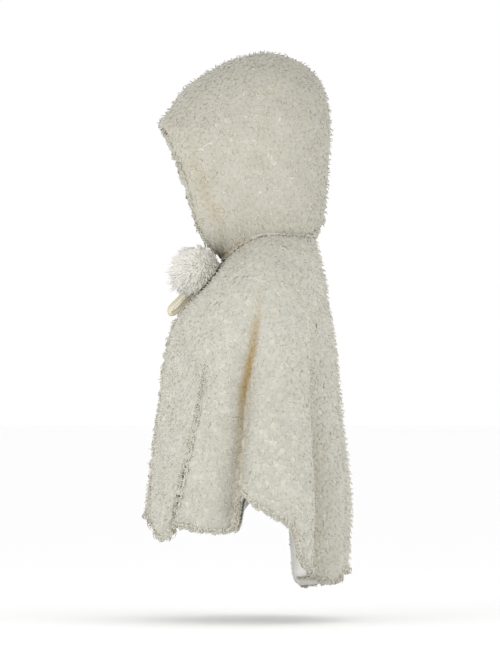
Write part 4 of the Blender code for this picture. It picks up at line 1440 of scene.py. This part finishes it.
def cape_samples(sign):
    """Points and normals over the front of the cape, and a tree that finds the nearest point."""
    angles = sign * np.linspace(*SAMPLE_ANGLES)
    angle, share = np.meshgrid(angles, np.linspace(*SAMPLE_SHARES))
    surface = cape_point(angle, share).reshape(-1, 3)
    normal = cape_normal(angle, share).reshape(-1, 3)
    tree = kdtree.KDTree(len(surface))
    for number, point in enumerate(surface):
        tree.insert(point, number)
    tree.balance()
    return surface, normal, tree


def off_the_cape(points, surface, normal, tree, clearance):
    """Points moved out of the cape where they lie in it or too near it."""
    near = np.array([tree.find(point)[1] for point in points])
    height = ((points - surface[near]) * normal[near]).sum(1)
    return points + normal[near] * np.maximum(clearance - height, 0)[:, None]


# Studio

def studio():
    """A plain pale floor, soft light and the camera at the photo's angle."""
    pale = {"Roughness": 0.9, "Base Color": (0.98, 0.98, 0.98, 1.0)}
    floor_material = principled("floor", pale)[0]
    bpy.ops.mesh.primitive_plane_add(size=60, location=(0, 0, FLOOR_Z))
    floor = bpy.context.object
    floor.name = "floor"
    floor.data.materials.append(floor_material)
    world = bpy.data.worlds.new("studio")
    world.use_nodes = True
    world.node_tree.nodes["Background"].inputs["Color"].default_value = (1.0, 1.0, 1.0, 1.0)
    world.node_tree.nodes["Background"].inputs["Strength"].default_value = 1.0
    bpy.context.scene.world = world
    for name, place, size, power in LIGHTS:
        lamp = bpy.data.lights.new(name, "AREA")
        lamp.energy = power
        lamp.size = size
        lit = bpy.data.objects.new(name, lamp)
        lit.location = place
        aim = Vector(LIGHT_TARGET) - Vector(place)
        lit.rotation_euler = aim.to_track_quat("-Z", "Y").to_euler()
        bpy.context.scene.collection.objects.link(lit)
    lens = bpy.data.cameras.new("camera")
    lens.sensor_width = 36
    lens.lens = lens.sensor_width * CAMERA_DISTANCE / (PHOTO_HEIGHT * PIXEL)
    lens.clip_end = 100
    camera = bpy.data.objects.new("camera", lens)
    y = (PHOTO_WIDTH / 2 - ORIGIN_PIXEL[0]) * PIXEL
    z = (ORIGIN_PIXEL[1] - PHOTO_HEIGHT / 2) * PIXEL
    camera.location = (CAMERA_DISTANCE, y, z)
    camera.rotation_euler = (math.pi / 2, 0, math.pi / 2)
    bpy.context.scene.collection.objects.link(camera)
    bpy.context.scene.camera = camera
    bpy.context.scene.view_settings.view_transform = "Standard"


def main():
    pile, satin = pile_material(), satin_material()
    panels = (
        ("front_left", (("start", 0), ("end", SLIT_TOP_SHARE), ("bottom", 0))),
        ("side_left", (("start", SLIT_TOP_SHARE), ("bottom", 0))),
        ("back", (("bottom", 0),)),
        ("side_right", (("end", SLIT_TOP_SHARE), ("bottom", 0))),
        ("front_right", (("start", SLIT_TOP_SHARE), ("end", 0), ("bottom", 0))),
    )
    for name, edges in panels:
        cape_panel(name, edges, pile)
        lining_panel(name, satin)
    long_fur = long_fur_material()
    for side, *place in POMPOMS:
        hood_half(side, pile)
        pompom(side, place, long_fur)
    ribbon_bow(ribbon_material())
    studio()


main()
